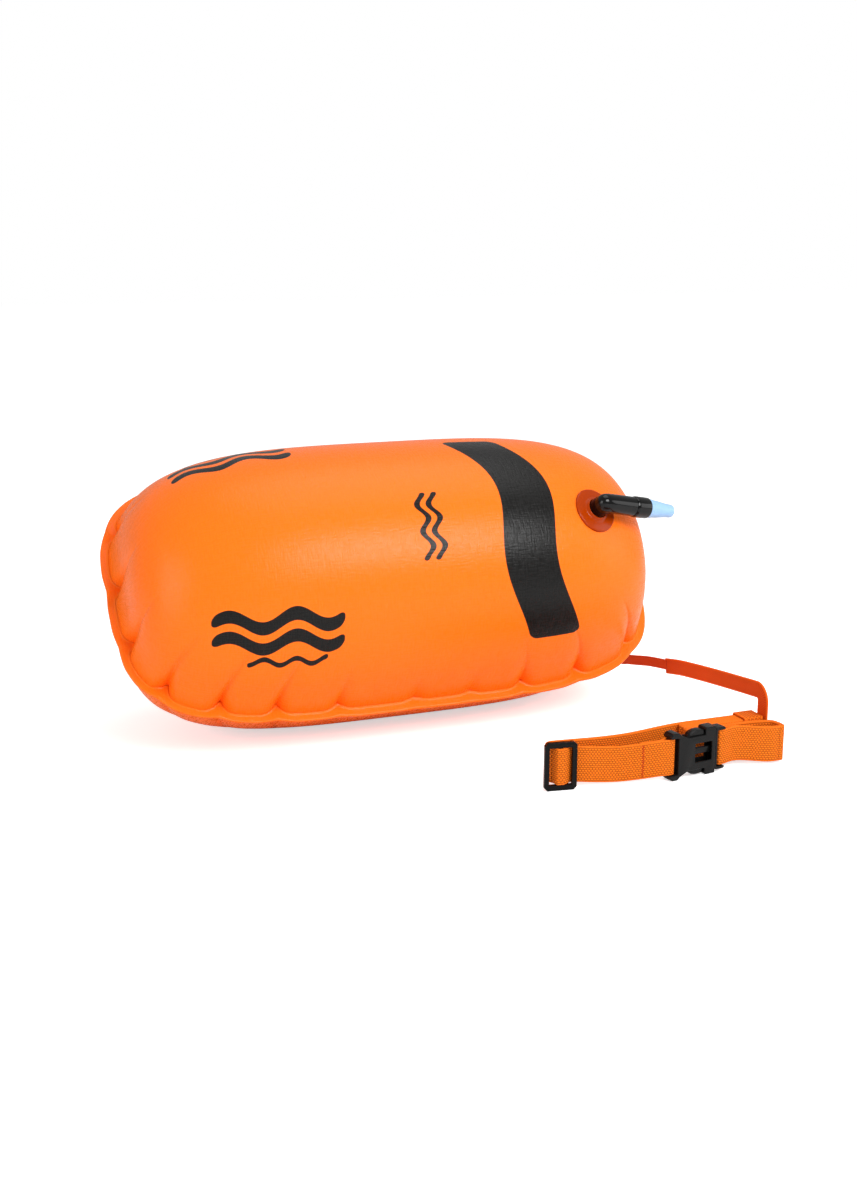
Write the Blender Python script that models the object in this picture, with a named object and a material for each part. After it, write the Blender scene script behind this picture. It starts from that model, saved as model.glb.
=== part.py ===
"""Open water swim buoy: an inflated two-sheet bladder with a push valve, a tether and a waist belt.

The buoy lies on its round back sheet on the plane Z = 0, with the seam of its two sheets turned
45 degrees, low at the front (-Y) and high at the back. X runs along the buoy, towards the valve end.
The belt stands on edge in front of it, folded up as it is packed. All lengths are in metres.
"""
import math

import bmesh
import bpy
from mathutils import Matrix, Vector

# Clearances and cuts
GAP = 0.0003
OVERRUN = 0.004

# Bladder: two sheets, welded along a flat flange
BODY_HALF_WIDTH = 0.0997
BODY_HALF_DEPTH = 0.1053
BODY_HALF_LENGTH = 0.1956
OUTLINE_POWER = 3.8
DEPTH_POWER = 3.33
SEAM_TILT = math.radians(45)
SHEET_THICKNESS = 0.0006
FLANGE_WIDTH = 0.009
REST_DEPTH = 0.0005
DOME_RINGS = 7
CREASES = 24
POINTS_PER_CREASE = 3
CREASE_DEPTH = 0.0035
CREASE_FADE_SHARES = (0.25, 0.7, 1.0)
SIDE_CREASE_SHARE = 0.35

# Valve: disc welded on the front sheet, elbow tube, lock ring and mouthpiece
VALVE_FROM_END = 0.0616
VALVE_ACROSS = 0.0142
DISC_RADIUS = 0.017
DISC_THICKNESS = 0.0012
COLLAR_HEIGHT = 0.0016
COLLAR_WALL = 0.0011
SPIGOT_RADIUS = 0.0056
SPIGOT_DEPTH = 0.003
SPIGOT_WALL = 0.0013
TUBE_RADIUS = 0.0071
TUBE_WALL = 0.0015
TUBE_RISE = 0.0115
BEND_RADIUS = 0.0082
TUBE_REACH = 0.0255
BARREL_WALL = 0.0011
BARREL_START = 0.0088
SEAT_THICKNESS = 0.0018
SEAT_HOLE_RADIUS = 0.0029
SPRING_LENGTH = 0.0066
SPRING_WIRE_RADIUS = 0.00028
SPRING_TURNS = 5
POPPET_THICKNESS = 0.0012
SEAL_THICKNESS = 0.0008
RING_RADIUS = 0.0077
RING_LENGTH = 0.0134
RING_SKIRT_LENGTH = 0.0042
RING_SLOT_WIDTH = 0.0016
RING_SLOT_LENGTH = 0.0048
PRESS_TRAVEL = 0.0025
MOUTH_BASE_RADIUS = 0.0069
MOUTH_TIP_RADIUS = 0.0045
MOUTH_BORE_RADIUS = 0.0031
MOUTH_LENGTH = 0.0245
MOUTH_OVERLAP = 0.0012
STEM_WALL = 0.0011

# Webbing belt, folded up as it is packed
WEB_WIDTH = 0.025
WEB_THICKNESS = 0.0013
FOLD_GAP = 0.0004
LEFT_FOLD_RADIUS = 0.0053
LEFT_FOLD_START = -135
BUNDLE_RIGHT_REACH = 0.0590
BUNDLE_BACK_REACH = 0.0289
BUNDLE_LENGTH = 0.0535
RUN_END_REACH = 0.0668
RUN_END_SETBACK = 0.0015
TAIL_LENGTH = 0.014
SAG_LIFT = 0.0020

# Side release buckle
BUCKLE_PLACE_X = 0.1467
BUCKLE_PLACE_Y = -0.2040
BUCKLE_TURN = math.radians(8)
BUCKLE_THICKNESS = 0.0090
BUCKLE_PLATE = 0.0014
BUCKLE_SIDE_WALL = 0.0030
FEMALE_LENGTH = 0.0375
MALE_REACH = 0.0085
EAR_WALL = 0.0037
MALE_EAR_WALL = 0.0020
BAR_WIDTH = 0.0030
BAR_THICKNESS = 0.0030
WEB_SLOT_WIDTH = 0.0036
ARM_THICKNESS = 0.0056
ARM_WIDTH = 0.0026
LATCH_STEP = 0.0018
LOBE_LENGTH = 0.0135
LOBE_BULGE = 0.0014
RELEASE_ANGLE = math.radians(9)
GUIDE_WIDTH = 0.0044
GUIDE_THICKNESS = 0.0024
WINDOW_LENGTH = 0.014
WINDOW_WIDTH = 0.013

# Slide adjuster
GLIDE_REACH = 0.0963
GLIDE_SETBACK = 0.0065
GLIDE_LENGTH = 0.022
GLIDE_THICKNESS = 0.003
GLIDE_RAIL = 0.0032
GLIDE_BAR_WIDTH = 0.003
GLIDE_BAR_THICKNESS = 0.002
GLIDE_TURN = math.radians(-9)

# Tether and the sleeve that holds the folded belt
NARROW_WIDTH = 0.008
WIDE_WIDTH = 0.012
TETHER_THICKNESS = 0.0013
SLEEVE_LENGTH = 0.0150
TETHER_BEHIND_END = 0.0179
WIDE_START_Y = -0.053
WIDE_START_LIFT = 0.0275
WIDE_RISE_POWER = 0.8
WIDE_TOP = 0.0446
TAB_UP_SEAM = 0.028
TAB_WIDTH = 0.024
TAB_LENGTH = 0.0174
TAB_THICKNESS = 0.0012
TAB_SLOT_MARGIN = 0.003
TAB_SLOT_WIDTH = 0.003

VALVE_ALONG = BODY_HALF_LENGTH - VALVE_FROM_END
BUNDLE_RIGHT = BUCKLE_PLACE_X + BUNDLE_RIGHT_REACH
BUNDLE_BACK = BUCKLE_PLACE_Y + BUNDLE_BACK_REACH
RUN_END_X = BUCKLE_PLACE_X + RUN_END_REACH
RUN_END_Y = BUCKLE_PLACE_Y - RUN_END_SETBACK
HARDWARE_WIDTH = WEB_WIDTH + 2 * EAR_WALL + 2 * GAP
HARDWARE_MIDDLE = HARDWARE_WIDTH / 2
SEAM_TOP = GAP / 2 + SHEET_THICKNESS
LOWEST_REACH = math.hypot(BODY_HALF_WIDTH * math.sin(SEAM_TILT), BODY_HALF_DEPTH * math.cos(SEAM_TILT))
LOW_FACET_DROP = LOWEST_REACH * (1 - math.cos(math.pi / 4 / DOME_RINGS))
BODY_MIDDLE = LOWEST_REACH + SEAM_TOP * math.cos(SEAM_TILT) - LOW_FACET_DROP - REST_DEPTH
X_AXIS = Vector((1, 0, 0))
Y_AXIS = Vector((0, 1, 0))
Z_AXIS = Vector((0, 0, 1))
SEAM_DOWN = Vector((0, -math.cos(SEAM_TILT), -math.sin(SEAM_TILT)))
SEAM_UP = Vector((0, -math.sin(SEAM_TILT), math.cos(SEAM_TILT)))


def clear_scene():
    for item in list(bpy.data.objects):
        bpy.data.objects.remove(item, do_unlink=True)


def material(name, colour, roughness, alpha=1.0):
    made = bpy.data.materials.new(name)
    made.use_nodes = True
    shader = made.node_tree.nodes["Principled BSDF"]
    shader.inputs["Base Color"].default_value = (*colour, 1.0)
    shader.inputs["Roughness"].default_value = roughness
    shader.inputs["Metallic"].default_value = 0.0
    shader.inputs["Alpha"].default_value = alpha
    made.diffuse_color = (*colour, alpha)
    return made


def finish(name, mesh_maker, finish_material, parent=None, smooth_angle=40):
    """Turn a bmesh into a named object with outward faces."""
    bmesh.ops.recalc_face_normals(mesh_maker, faces=mesh_maker.faces)
    mesh = bpy.data.meshes.new(name)
    mesh_maker.to_mesh(mesh)
    mesh_maker.free()
    mesh.materials.append(finish_material)
    mesh.shade_smooth()
    mesh.set_sharp_from_angle(angle=math.radians(smooth_angle))
    made = bpy.data.objects.new(name, mesh)
    bpy.context.collection.objects.link(made)
    made.parent = parent
    return made


def empty(name, matrix, parent=None):
    made = bpy.data.objects.new(name, None)
    bpy.context.collection.objects.link(made)
    made.parent = parent
    made.matrix_basis = matrix
    return made


def frame_matrix(origin, x_direction, z_direction):
    z_direction = z_direction.normalized()
    y_direction = z_direction.cross(x_direction).normalized()
    x_direction = y_direction.cross(z_direction).normalized()
    columns = Matrix((x_direction, y_direction, z_direction)).transposed().to_4x4()
    return Matrix.Translation(origin) @ columns


def cut(target, cutter):
    """Subtract a cutter, which the build leaves out."""
    cutter.hide_render = True
    cutter.display_type = 'WIRE'
    change = target.modifiers.new("cut_" + cutter.name, 'BOOLEAN')
    change.operation = 'DIFFERENCE'
    change.solver = 'EXACT'
    change.object = cutter


def join(target, addition):
    """Add a guide solid to a piece, and leave the guide out of the build."""
    addition.hide_render = True
    addition.display_type = 'WIRE'
    change = target.modifiers.new("join_" + addition.name, 'BOOLEAN')
    change.operation = 'UNION'
    change.solver = 'EXACT'
    change.object = addition


def block(name, low, high, finish_material, parent=None):
    """A box between two corners in its parent's frame."""
    maker = bmesh.new()
    bmesh.ops.create_cube(maker, size=1)
    low = Vector(low)
    high = Vector(high)
    size = high - low
    bmesh.ops.scale(maker, vec=size, verts=maker.verts)
    bmesh.ops.translate(maker, vec=(low + high) / 2, verts=maker.verts)
    return finish(name, maker, finish_material, parent)


def plate(name, outline, low, high, finish_material, parent=None):
    """An outline in the XZ plane, extruded along Y from low to high."""
    maker = bmesh.new()
    corners = [maker.verts.new((x, low, z)) for x, z in outline]
    face = maker.faces.new(corners)
    grown = bmesh.ops.extrude_face_region(maker, geom=[face])
    moved = [item for item in grown["geom"] if isinstance(item, bmesh.types.BMVert)]
    bmesh.ops.translate(maker, vec=(0, high - low, 0), verts=moved)
    return finish(name, maker, finish_material, parent)


def turned(name, profile, segments, finish_material, parent=None):
    """A closed profile of (radius, height) points spun about the Z axis."""
    maker = bmesh.new()
    corners = [maker.verts.new((radius, 0, height)) for radius, height in profile]
    sides = []
    for index, corner in enumerate(corners):
        after = corners[(index + 1) % len(corners)]
        if corner.co.x > 0 or after.co.x > 0:
            sides.append(maker.edges.new((corner, after)))
    bmesh.ops.spin(maker, geom=corners + sides, cent=(0, 0, 0), axis=Z_AXIS, dvec=(0, 0, 0),
                   angle=math.tau, steps=segments, use_merge=True, use_duplicate=False)
    bmesh.ops.remove_doubles(maker, verts=maker.verts, dist=GAP / 10)
    return finish(name, maker, finish_material, parent)


def loft(name, rings, finish_material, parent=None, wrap=False):
    """Join rings of points with quads: closed into a loop, or capped at both ends."""
    maker = bmesh.new()
    rows = [[maker.verts.new(point) for point in ring] for ring in rings]
    count = len(rows[0])
    pairs = list(zip(rows, rows[1:]))
    if wrap:
        pairs.append((rows[-1], rows[0]))
    for first, second in pairs:
        for index in range(count):
            after = (index + 1) % count
            maker.faces.new((first[index], first[after], second[after], second[index]))
    if not wrap:
        maker.faces.new(rows[0])
        maker.faces.new(list(reversed(rows[-1])))
    return finish(name, maker, finish_material, parent)


def smooth_route(points, steps):
    """Points read from a smooth curve through the route's own points, however they are spaced."""
    points = [Vector(point) for point in points]
    legs = [(after - here).length for here, after in zip(points, points[1:])]
    headings = [(after - here) / leg for here, after, leg in zip(points, points[1:], legs)]
    speeds = [headings[0]]
    for index in range(1, len(legs)):
        before, after = legs[index - 1], legs[index]
        speeds.append((headings[index - 1] * after + headings[index] * before) / (before + after))
    speeds.append(headings[-1])
    route = []
    for index, leg in enumerate(legs):
        start, end = points[index], points[index + 1]
        for step in range(steps):
            share = step / steps
            blend = share * share * (3 - 2 * share)
            leaving = share * (1 - share) ** 2 * leg
            arriving = share ** 2 * (1 - share) * leg
            route.append(start.lerp(end, blend) + speeds[index] * leaving
                         - speeds[index + 1] * arriving)
    route.append(points[-1])
    return route


def directions(route):
    """Unit directions along a route, one at each point."""
    found = []
    for index in range(len(route)):
        ahead = route[min(index + 1, len(route) - 1)]
        behind = route[max(index - 1, 0)]
        found.append((ahead - behind).normalized())
    return found


# The bladder's shape, in its own frame: x along it, p down the seam plane, q up from it

def signed_power(value, power):
    return math.copysign(abs(value) ** power, value)


def half_width(x):
    shrink = max(0, 1 - abs(x / BODY_HALF_LENGTH) ** OUTLINE_POWER) ** (1 / OUTLINE_POWER)
    return BODY_HALF_WIDTH * shrink


def half_depth(x):
    shrink = max(0, 1 - abs(x / BODY_HALF_LENGTH) ** DEPTH_POWER) ** (1 / DEPTH_POWER)
    return BODY_HALF_DEPTH * shrink


def dome(x, p):
    """Height of the sheet above the seam plane."""
    wide = half_width(x)
    if abs(p) >= wide:
        return SEAM_TOP
    return SEAM_TOP + half_depth(x) * math.sqrt(1 - (p / wide) ** 2)


def to_world(x, p, q):
    return X_AXIS * x + Z_AXIS * BODY_MIDDLE + SEAM_DOWN * p + SEAM_UP * q


def seam_outline(count):
    """Points spaced evenly along the seam line, each with its outward direction."""
    fine = 40 * count
    places = []
    for index in range(fine + 1):
        turn = math.tau * index / fine
        x = BODY_HALF_LENGTH * signed_power(math.cos(turn), 2 / OUTLINE_POWER)
        p = BODY_HALF_WIDTH * signed_power(math.sin(turn), 2 / OUTLINE_POWER)
        places.append(Vector((x, p)))
    travelled = [0]
    for before, after in zip(places, places[1:]):
        travelled.append(travelled[-1] + (after - before).length)
    outline = []
    index = 0
    for step in range(count):
        goal = travelled[-1] * step / count
        while travelled[index + 1] < goal:
            index += 1
        share = (goal - travelled[index]) / (travelled[index + 1] - travelled[index])
        outline.append(places[index].lerp(places[index + 1], share))
    outward = []
    for step in range(count):
        along = outline[(step + 1) % count] - outline[step - 1]
        outward.append(Vector((along.y, -along.x)).normalized())
    return outline, outward


def crease_depth(place, step):
    """How far a crease pulls the seam in at this point: full at the ends, slight along the sides."""
    if step % POINTS_PER_CREASE:
        return 0
    end_share = min(1, (abs(place.x) / BODY_HALF_LENGTH) ** 2)
    return CREASE_DEPTH * (SIDE_CREASE_SHARE + (1 - SIDE_CREASE_SHARE) * end_share)


def sheet(name, side, finish_material):
    """One sheet with its half of the flange, on the side +1 (front) or -1 (back) of the seam."""
    count = CREASES * POINTS_PER_CREASE
    outline, outward = seam_outline(count)
    maker = bmesh.new()
    top = maker.verts.new(to_world(0, 0, side * dome(0, 0)))
    rows = []
    for ring in range(1, DOME_RINGS + 1):
        reach = math.sin(math.pi / 2 * ring / DOME_RINGS)
        from_seam = DOME_RINGS - ring
        fade = 0
        if from_seam < len(CREASE_FADE_SHARES):
            fade = CREASE_FADE_SHARES[len(CREASE_FADE_SHARES) - 1 - from_seam]
        row = []
        for step, place in enumerate(outline):
            spot = place * reach
            height = dome(spot.x, spot.y) if from_seam else SEAM_TOP
            spot = spot - outward[step] * crease_depth(place, step) * fade
            row.append(maker.verts.new(to_world(spot.x, spot.y, side * height)))
        rows.append(row)
    rim = []
    for step, place in enumerate(outline):
        spot = place + outward[step] * FLANGE_WIDTH
        rim.append(maker.verts.new(to_world(spot.x, spot.y, side * SEAM_TOP)))
    rows.append(rim)
    for step in range(count):
        after = (step + 1) % count
        maker.faces.new((top, rows[0][step], rows[0][after]))
        for inner, outer in zip(rows, rows[1:]):
            maker.faces.new((inner[step], outer[step], outer[after], inner[after]))
    for vertex in maker.verts:
        vertex.co.z = max(0, vertex.co.z)
    made = finish(name, maker, finish_material)
    if made.data.polygons[0].normal.dot(SEAM_UP) * side < 0:
        made.data.flip_normals()
    wall = made.modifiers.new("wall", 'SOLIDIFY')
    wall.thickness = SHEET_THICKNESS
    wall.offset = -1
    wall.use_even_offset = True
    return made


def surface_drop(origin, direction, reach):
    """How far below a point, along a direction, the front sheet lies."""
    low, high = 0, reach
    for _ in range(30):
        middle = (low + high) / 2
        spot = origin + direction * middle - Z_AXIS * BODY_MIDDLE
        outside = spot.dot(SEAM_UP) > dome(spot.x, spot.dot(SEAM_DOWN))
        low, high = (middle, high) if outside else (low, middle)
    return low


def valve_frame():
    """The place of the valve's disc: its origin on the sheet, X along the buoy and Z outwards."""
    step = DISC_RADIUS / 4
    here = to_world(VALVE_ALONG, VALVE_ACROSS, dome(VALVE_ALONG, VALVE_ACROSS))
    ahead = to_world(VALVE_ALONG + step, VALVE_ACROSS, dome(VALVE_ALONG + step, VALVE_ACROSS))
    behind = to_world(VALVE_ALONG - step, VALVE_ACROSS, dome(VALVE_ALONG - step, VALVE_ACROSS))
    below = to_world(VALVE_ALONG, VALVE_ACROSS + step, dome(VALVE_ALONG, VALVE_ACROSS + step))
    above = to_world(VALVE_ALONG, VALVE_ACROSS - step, dome(VALVE_ALONG, VALVE_ACROSS - step))
    outward = (ahead - behind).cross(above - below)
    if outward.dot(here - Z_AXIS * BODY_MIDDLE) < 0:
        outward = -outward
    return frame_matrix(here, ahead - behind, outward)


def bladder(front_material, back_material):
    front = sheet("front_sheet", 1, front_material)
    sheet("back_sheet", -1, back_material)
    return front


# The valve, with heights above the sheet and lengths along the tube

BARREL_OUTER = TUBE_RADIUS - TUBE_WALL - GAP
BARREL_BORE = BARREL_OUTER - BARREL_WALL
BARREL_END = TUBE_REACH + RING_LENGTH - RING_SKIRT_LENGTH
RING_START = TUBE_REACH + GAP
RING_END = TUBE_REACH + RING_LENGTH
RING_SHOULDER = RING_END - RING_SKIRT_LENGTH + GAP
MOUTH_START = RING_END - MOUTH_OVERLAP
SPRING_START = BARREL_START + BARREL_WALL + GAP
POPPET_START = SPRING_START + SPRING_LENGTH + GAP
SEAL_START = POPPET_START + POPPET_THICKNESS + GAP
SEAT_START = SEAL_START + SEAL_THICKNESS + GAP
STEM_RADIUS = BARREL_BORE - GAP


def flange_sag(frame, spot):
    """How far the sheet falls away from the disc's flat middle at a point."""
    start = frame @ Vector((spot.x, spot.y, 0))
    inward = -(frame.to_3x3() @ Z_AXIS)
    return surface_drop(start, inward, DISC_RADIUS)


def valve(disc_material, black_material, blue_material, steel_material, seal_material, front):
    frame = valve_frame()
    seat = empty("valve_place", frame)
    tube_frame = frame_matrix(Vector((0, 0, TUBE_RISE)), -Z_AXIS, X_AXIS)
    tube = empty("tube_axis", tube_frame, seat)

    collar_radius = TUBE_RADIUS + GAP + COLLAR_WALL
    spigot_bore = SPIGOT_RADIUS - SPIGOT_WALL
    disc_top = GAP + DISC_THICKNESS
    edge = DISC_THICKNESS / 3
    disc = turned("valve_flange", [
        (spigot_bore, disc_top), (spigot_bore, -SPIGOT_DEPTH), (SPIGOT_RADIUS, -SPIGOT_DEPTH),
        (SPIGOT_RADIUS, GAP), (collar_radius, GAP), ((collar_radius + DISC_RADIUS) / 2, GAP),
        (DISC_RADIUS, GAP), (DISC_RADIUS, disc_top - edge), (DISC_RADIUS - edge, disc_top),
        ((collar_radius + DISC_RADIUS) / 2, disc_top), (collar_radius, disc_top),
        (collar_radius, disc_top + COLLAR_HEIGHT), (TUBE_RADIUS + GAP, disc_top + COLLAR_HEIGHT),
        (TUBE_RADIUS + GAP, disc_top)], 32, disc_material, seat)
    for vertex in disc.data.vertices:
        radius = math.hypot(vertex.co.x, vertex.co.y)
        share = max(0, (radius - collar_radius) / (DISC_RADIUS - collar_radius))
        vertex.co.z -= flange_sag(frame, vertex.co) * min(1, share)

    drill = turned("valve_hole", [
        (0, -DISC_RADIUS / 2), (SPIGOT_RADIUS + GAP, -DISC_RADIUS / 2),
        (SPIGOT_RADIUS + GAP, DISC_RADIUS / 2), (0, DISC_RADIUS / 2)], 24, disc_material, seat)
    cut(front, drill)

    elbow(black_material, seat, disc_top + GAP)

    turned("valve_barrel", [
        (SEAT_HOLE_RADIUS, BARREL_START), (BARREL_OUTER, BARREL_START), (BARREL_OUTER, BARREL_END),
        (BARREL_BORE, BARREL_END), (BARREL_BORE, SEAT_START + SEAT_THICKNESS),
        (SEAT_HOLE_RADIUS, SEAT_START + SEAT_THICKNESS), (SEAT_HOLE_RADIUS, SEAT_START),
        (BARREL_BORE, SEAT_START), (BARREL_BORE, BARREL_START + BARREL_WALL),
        (SEAT_HOLE_RADIUS, BARREL_START + BARREL_WALL)], 24, black_material, tube)

    skirt_radius = MOUTH_BASE_RADIUS + GAP
    grip = (RING_RADIUS - skirt_radius) / 2
    ring = turned("lock_ring", [
        (BARREL_OUTER + GAP, RING_START), (RING_RADIUS - grip, RING_START),
        (RING_RADIUS, RING_START + RING_SKIRT_LENGTH / 2), (RING_RADIUS, RING_END - grip),
        (RING_RADIUS - grip, RING_END), (skirt_radius, RING_END),
        (skirt_radius, RING_SHOULDER), (BARREL_OUTER + GAP, RING_SHOULDER)],
        28, black_material, tube)
    slot_depth = RING_RADIUS - (RING_RADIUS - BARREL_OUTER) / 2
    slot = block("ring_slot",
                 (slot_depth, -RING_SLOT_WIDTH / 2, RING_START + RING_SKIRT_LENGTH / 2),
                 (RING_RADIUS + OVERRUN, RING_SLOT_WIDTH / 2,
                  RING_START + RING_SKIRT_LENGTH / 2 + RING_SLOT_LENGTH), black_material, tube)
    cut(ring, slot)

    spring_radius = BARREL_BORE - 3 * SPRING_WIRE_RADIUS
    spring(steel_material, tube, spring_radius)
    turned("poppet", [
        (0, POPPET_START), (STEM_RADIUS, POPPET_START),
        (STEM_RADIUS, POPPET_START + POPPET_THICKNESS), (0, POPPET_START + POPPET_THICKNESS)],
        20, black_material, tube)
    turned("poppet_seal", [
        (SEAT_HOLE_RADIUS, SEAL_START), (STEM_RADIUS, SEAL_START),
        (STEM_RADIUS, SEAL_START + SEAL_THICKNESS), (SEAT_HOLE_RADIUS, SEAL_START + SEAL_THICKNESS)],
        20, seal_material, tube)

    nose_radius = SEAT_HOLE_RADIUS - GAP
    nose_start = POPPET_START + POPPET_THICKNESS + GAP
    stem_start = SEAT_START + SEAT_THICKNESS + PRESS_TRAVEL + GAP
    stem_bore = nose_radius - STEM_WALL
    mouth_end = RING_END + MOUTH_LENGTH
    lip = MOUTH_TIP_RADIUS - MOUTH_BORE_RADIUS
    straight = MOUTH_LENGTH / 6
    mouth = turned("mouthpiece", [
        (stem_bore, nose_start), (nose_radius, nose_start), (nose_radius, stem_start),
        (STEM_RADIUS, stem_start), (STEM_RADIUS, MOUTH_START), (MOUTH_BASE_RADIUS, MOUTH_START),
        (MOUTH_BASE_RADIUS, RING_END + straight),
        (MOUTH_TIP_RADIUS + lip, RING_END + MOUTH_LENGTH * 2 / 3),
        (MOUTH_TIP_RADIUS + lip / 4, mouth_end - straight),
        (MOUTH_TIP_RADIUS, mouth_end - lip / 2), (MOUTH_TIP_RADIUS - lip / 2, mouth_end),
        (MOUTH_BORE_RADIUS, mouth_end - lip / 3), (MOUTH_BORE_RADIUS, RING_END),
        (stem_bore, RING_END - MOUTH_OVERLAP)], 28, blue_material, tube)
    notch = block("nose_notch", (-STEM_RADIUS, -stem_bore / 2, nose_start - OVERRUN),
                  (STEM_RADIUS, stem_bore / 2, nose_start + STEM_WALL), blue_material, tube)
    cut(mouth, notch)


def elbow(black_material, seat, base):
    """A bent tube, from the disc's collar up and over along the buoy."""
    centres = [(Vector((0, 0, base)), Z_AXIS)]
    bend_middle = Vector((BEND_RADIUS, 0, TUBE_RISE - BEND_RADIUS))
    steps = 8
    for step in range(steps + 1):
        turn = math.pi / 2 * step / steps
        spot = bend_middle + BEND_RADIUS * Vector((-math.cos(turn), 0, math.sin(turn)))
        centres.append((spot, Vector((math.sin(turn), 0, math.cos(turn)))))
    centres.append((Vector((TUBE_REACH, 0, TUBE_RISE)), X_AXIS))

    def rings(radius):
        made = []
        for centre, direction in centres:
            side = Y_AXIS.cross(direction)
            made.append([centre + radius * (math.cos(math.tau * index / 24) * side
                                            + math.sin(math.tau * index / 24) * Y_AXIS)
                         for index in range(24)])
        return made

    walls = rings(TUBE_RADIUS) + list(reversed(rings(TUBE_RADIUS - TUBE_WALL)))
    loft("valve_elbow", walls, black_material, seat, wrap=True)


def spring(steel_material, tube, radius):
    """The poppet's return spring, an open helix."""
    per_turn = 10
    count = SPRING_TURNS * per_turn
    climb = SPRING_LENGTH - 2 * SPRING_WIRE_RADIUS
    shape = bpy.data.curves.new("valve_spring", 'CURVE')
    shape.dimensions = '3D'
    shape.bevel_depth = SPRING_WIRE_RADIUS
    shape.bevel_resolution = 1
    shape.use_fill_caps = True
    line = shape.splines.new('POLY')
    line.points.add(count)
    for index, point in enumerate(line.points):
        turn = math.tau * index / per_turn
        height = SPRING_START + SPRING_WIRE_RADIUS + climb * index / count
        point.co = (radius * math.cos(turn), radius * math.sin(turn), height, 1)
    shape.materials.append(steel_material)
    made = bpy.data.objects.new("valve_spring", shape)
    bpy.context.collection.objects.link(made)
    made.parent = tube


# The belt's hardware, each in its own frame: X along the webbing, Y from its front to its back

def placed(x, y, turn):
    return Matrix.Translation((x, y, HARDWARE_MIDDLE)) @ Matrix.Rotation(turn, 4, 'Z')


BUCKLE_FRAME = placed(BUCKLE_PLACE_X, BUCKLE_PLACE_Y, BUCKLE_TURN)
GLIDE_FRAME = placed(BUCKLE_PLACE_X - GLIDE_REACH, BUCKLE_PLACE_Y + GLIDE_SETBACK, GLIDE_TURN)
FEMALE_START = -(FEMALE_LENGTH + MALE_REACH) / 2
MOUTH_EDGE = FEMALE_START + FEMALE_LENGTH
MALE_END = MOUTH_EDGE + MALE_REACH
FEMALE_SLOT = FEMALE_START + BAR_WIDTH
CAVITY_START = FEMALE_SLOT + WEB_SLOT_WIDTH + BUCKLE_SIDE_WALL
WALL_INSIDE = HARDWARE_MIDDLE - BUCKLE_SIDE_WALL
LOBE_END = MOUTH_EDGE - BUCKLE_SIDE_WALL * 3
LOBE_START = LOBE_END - LOBE_LENGTH
MALE_FACE = MOUTH_EDGE + GAP
MALE_BAR = MALE_END - BAR_WIDTH
WEB_WINDOW = WEB_WIDTH / 2 + GAP
PAIR_OFFSET = FOLD_GAP / 2 + WEB_THICKNESS / 2
HALF_BUCKLE = BUCKLE_THICKNESS / 2


def thin_bar(name, target, low, high, finish_material, parent):
    """Cut a webbing bar down to its own thickness, front and back."""
    for index, side in enumerate((-1, 1)):
        near = side * BAR_THICKNESS / 2
        far = side * (HALF_BUCKLE + OVERRUN)
        pocket = block(f"{name}_{index}", (low, min(near, far), -WEB_WINDOW),
                       (high, max(near, far), WEB_WINDOW), finish_material, parent)
        cut(target, pocket)


def female_half(black_material, place):
    edge = HARDWARE_MIDDLE
    waist = CAVITY_START - BUCKLE_SIDE_WALL / 2
    shelf = WALL_INSIDE - LATCH_STEP
    chamfer = EAR_WALL / 2
    upper = [
        (FEMALE_START, edge - chamfer), (FEMALE_START + chamfer, edge), (waist - chamfer, edge),
        (waist, edge - chamfer), (LOBE_START - GAP, shelf), (LOBE_END + GAP, shelf),
        (LOBE_END + GAP, edge - chamfer / 2), (LOBE_END + GAP + chamfer / 2, edge),
        (MOUTH_EDGE, edge)]
    lower = [(x, -z) for x, z in reversed(upper)]
    body = plate("buckle_female", upper + lower, -HALF_BUCKLE, HALF_BUCKLE, black_material, place)
    inside = HALF_BUCKLE - BUCKLE_PLATE
    cavity = block("female_cavity", (CAVITY_START, -inside, -WALL_INSIDE),
                   (MOUTH_EDGE + OVERRUN, inside, WALL_INSIDE), black_material, place)
    cut(body, cavity)
    window_end = MOUTH_EDGE - BUCKLE_SIDE_WALL
    window = block("female_window", (window_end - WINDOW_LENGTH, -edge, -WINDOW_WIDTH / 2),
                   (window_end, edge, WINDOW_WIDTH / 2), black_material, place)
    cut(body, window)
    slot = block("female_slot", (FEMALE_SLOT, -edge, -WEB_WINDOW),
                 (FEMALE_SLOT + WEB_SLOT_WIDTH, edge, WEB_WINDOW), black_material, place)
    cut(body, slot)
    thin_bar("female_bar", body, FEMALE_START - OVERRUN, FEMALE_SLOT + GAP, black_material, place)
    return body


def male_half(black_material, place):
    edge = WEB_WINDOW + MALE_EAR_WALL
    chamfer = MALE_EAR_WALL / 2
    half = HALF_BUCKLE - GAP
    upper = [(MALE_FACE, edge - chamfer), (MALE_FACE + chamfer, edge), (MALE_END - chamfer, edge),
             (MALE_END, edge - chamfer)]
    lower = [(x, -z) for x, z in reversed(upper)]
    body = plate("buckle_male", upper + lower, -half, half, black_material, place)
    guide = block("male_guide", (LOBE_START, -GUIDE_THICKNESS / 2, -GUIDE_WIDTH / 2),
                  (MALE_FACE + chamfer, GUIDE_THICKNESS / 2, GUIDE_WIDTH / 2),
                  black_material, place)
    join(body, guide)
    slot = block("male_slot", (MALE_BAR - WEB_SLOT_WIDTH, -edge, -WEB_WINDOW),
                 (MALE_BAR, edge, WEB_WINDOW), black_material, place)
    cut(body, slot)
    thin_bar("male_bar", body, MALE_BAR - GAP, MALE_END + OVERRUN, black_material, place)
    return body


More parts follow.
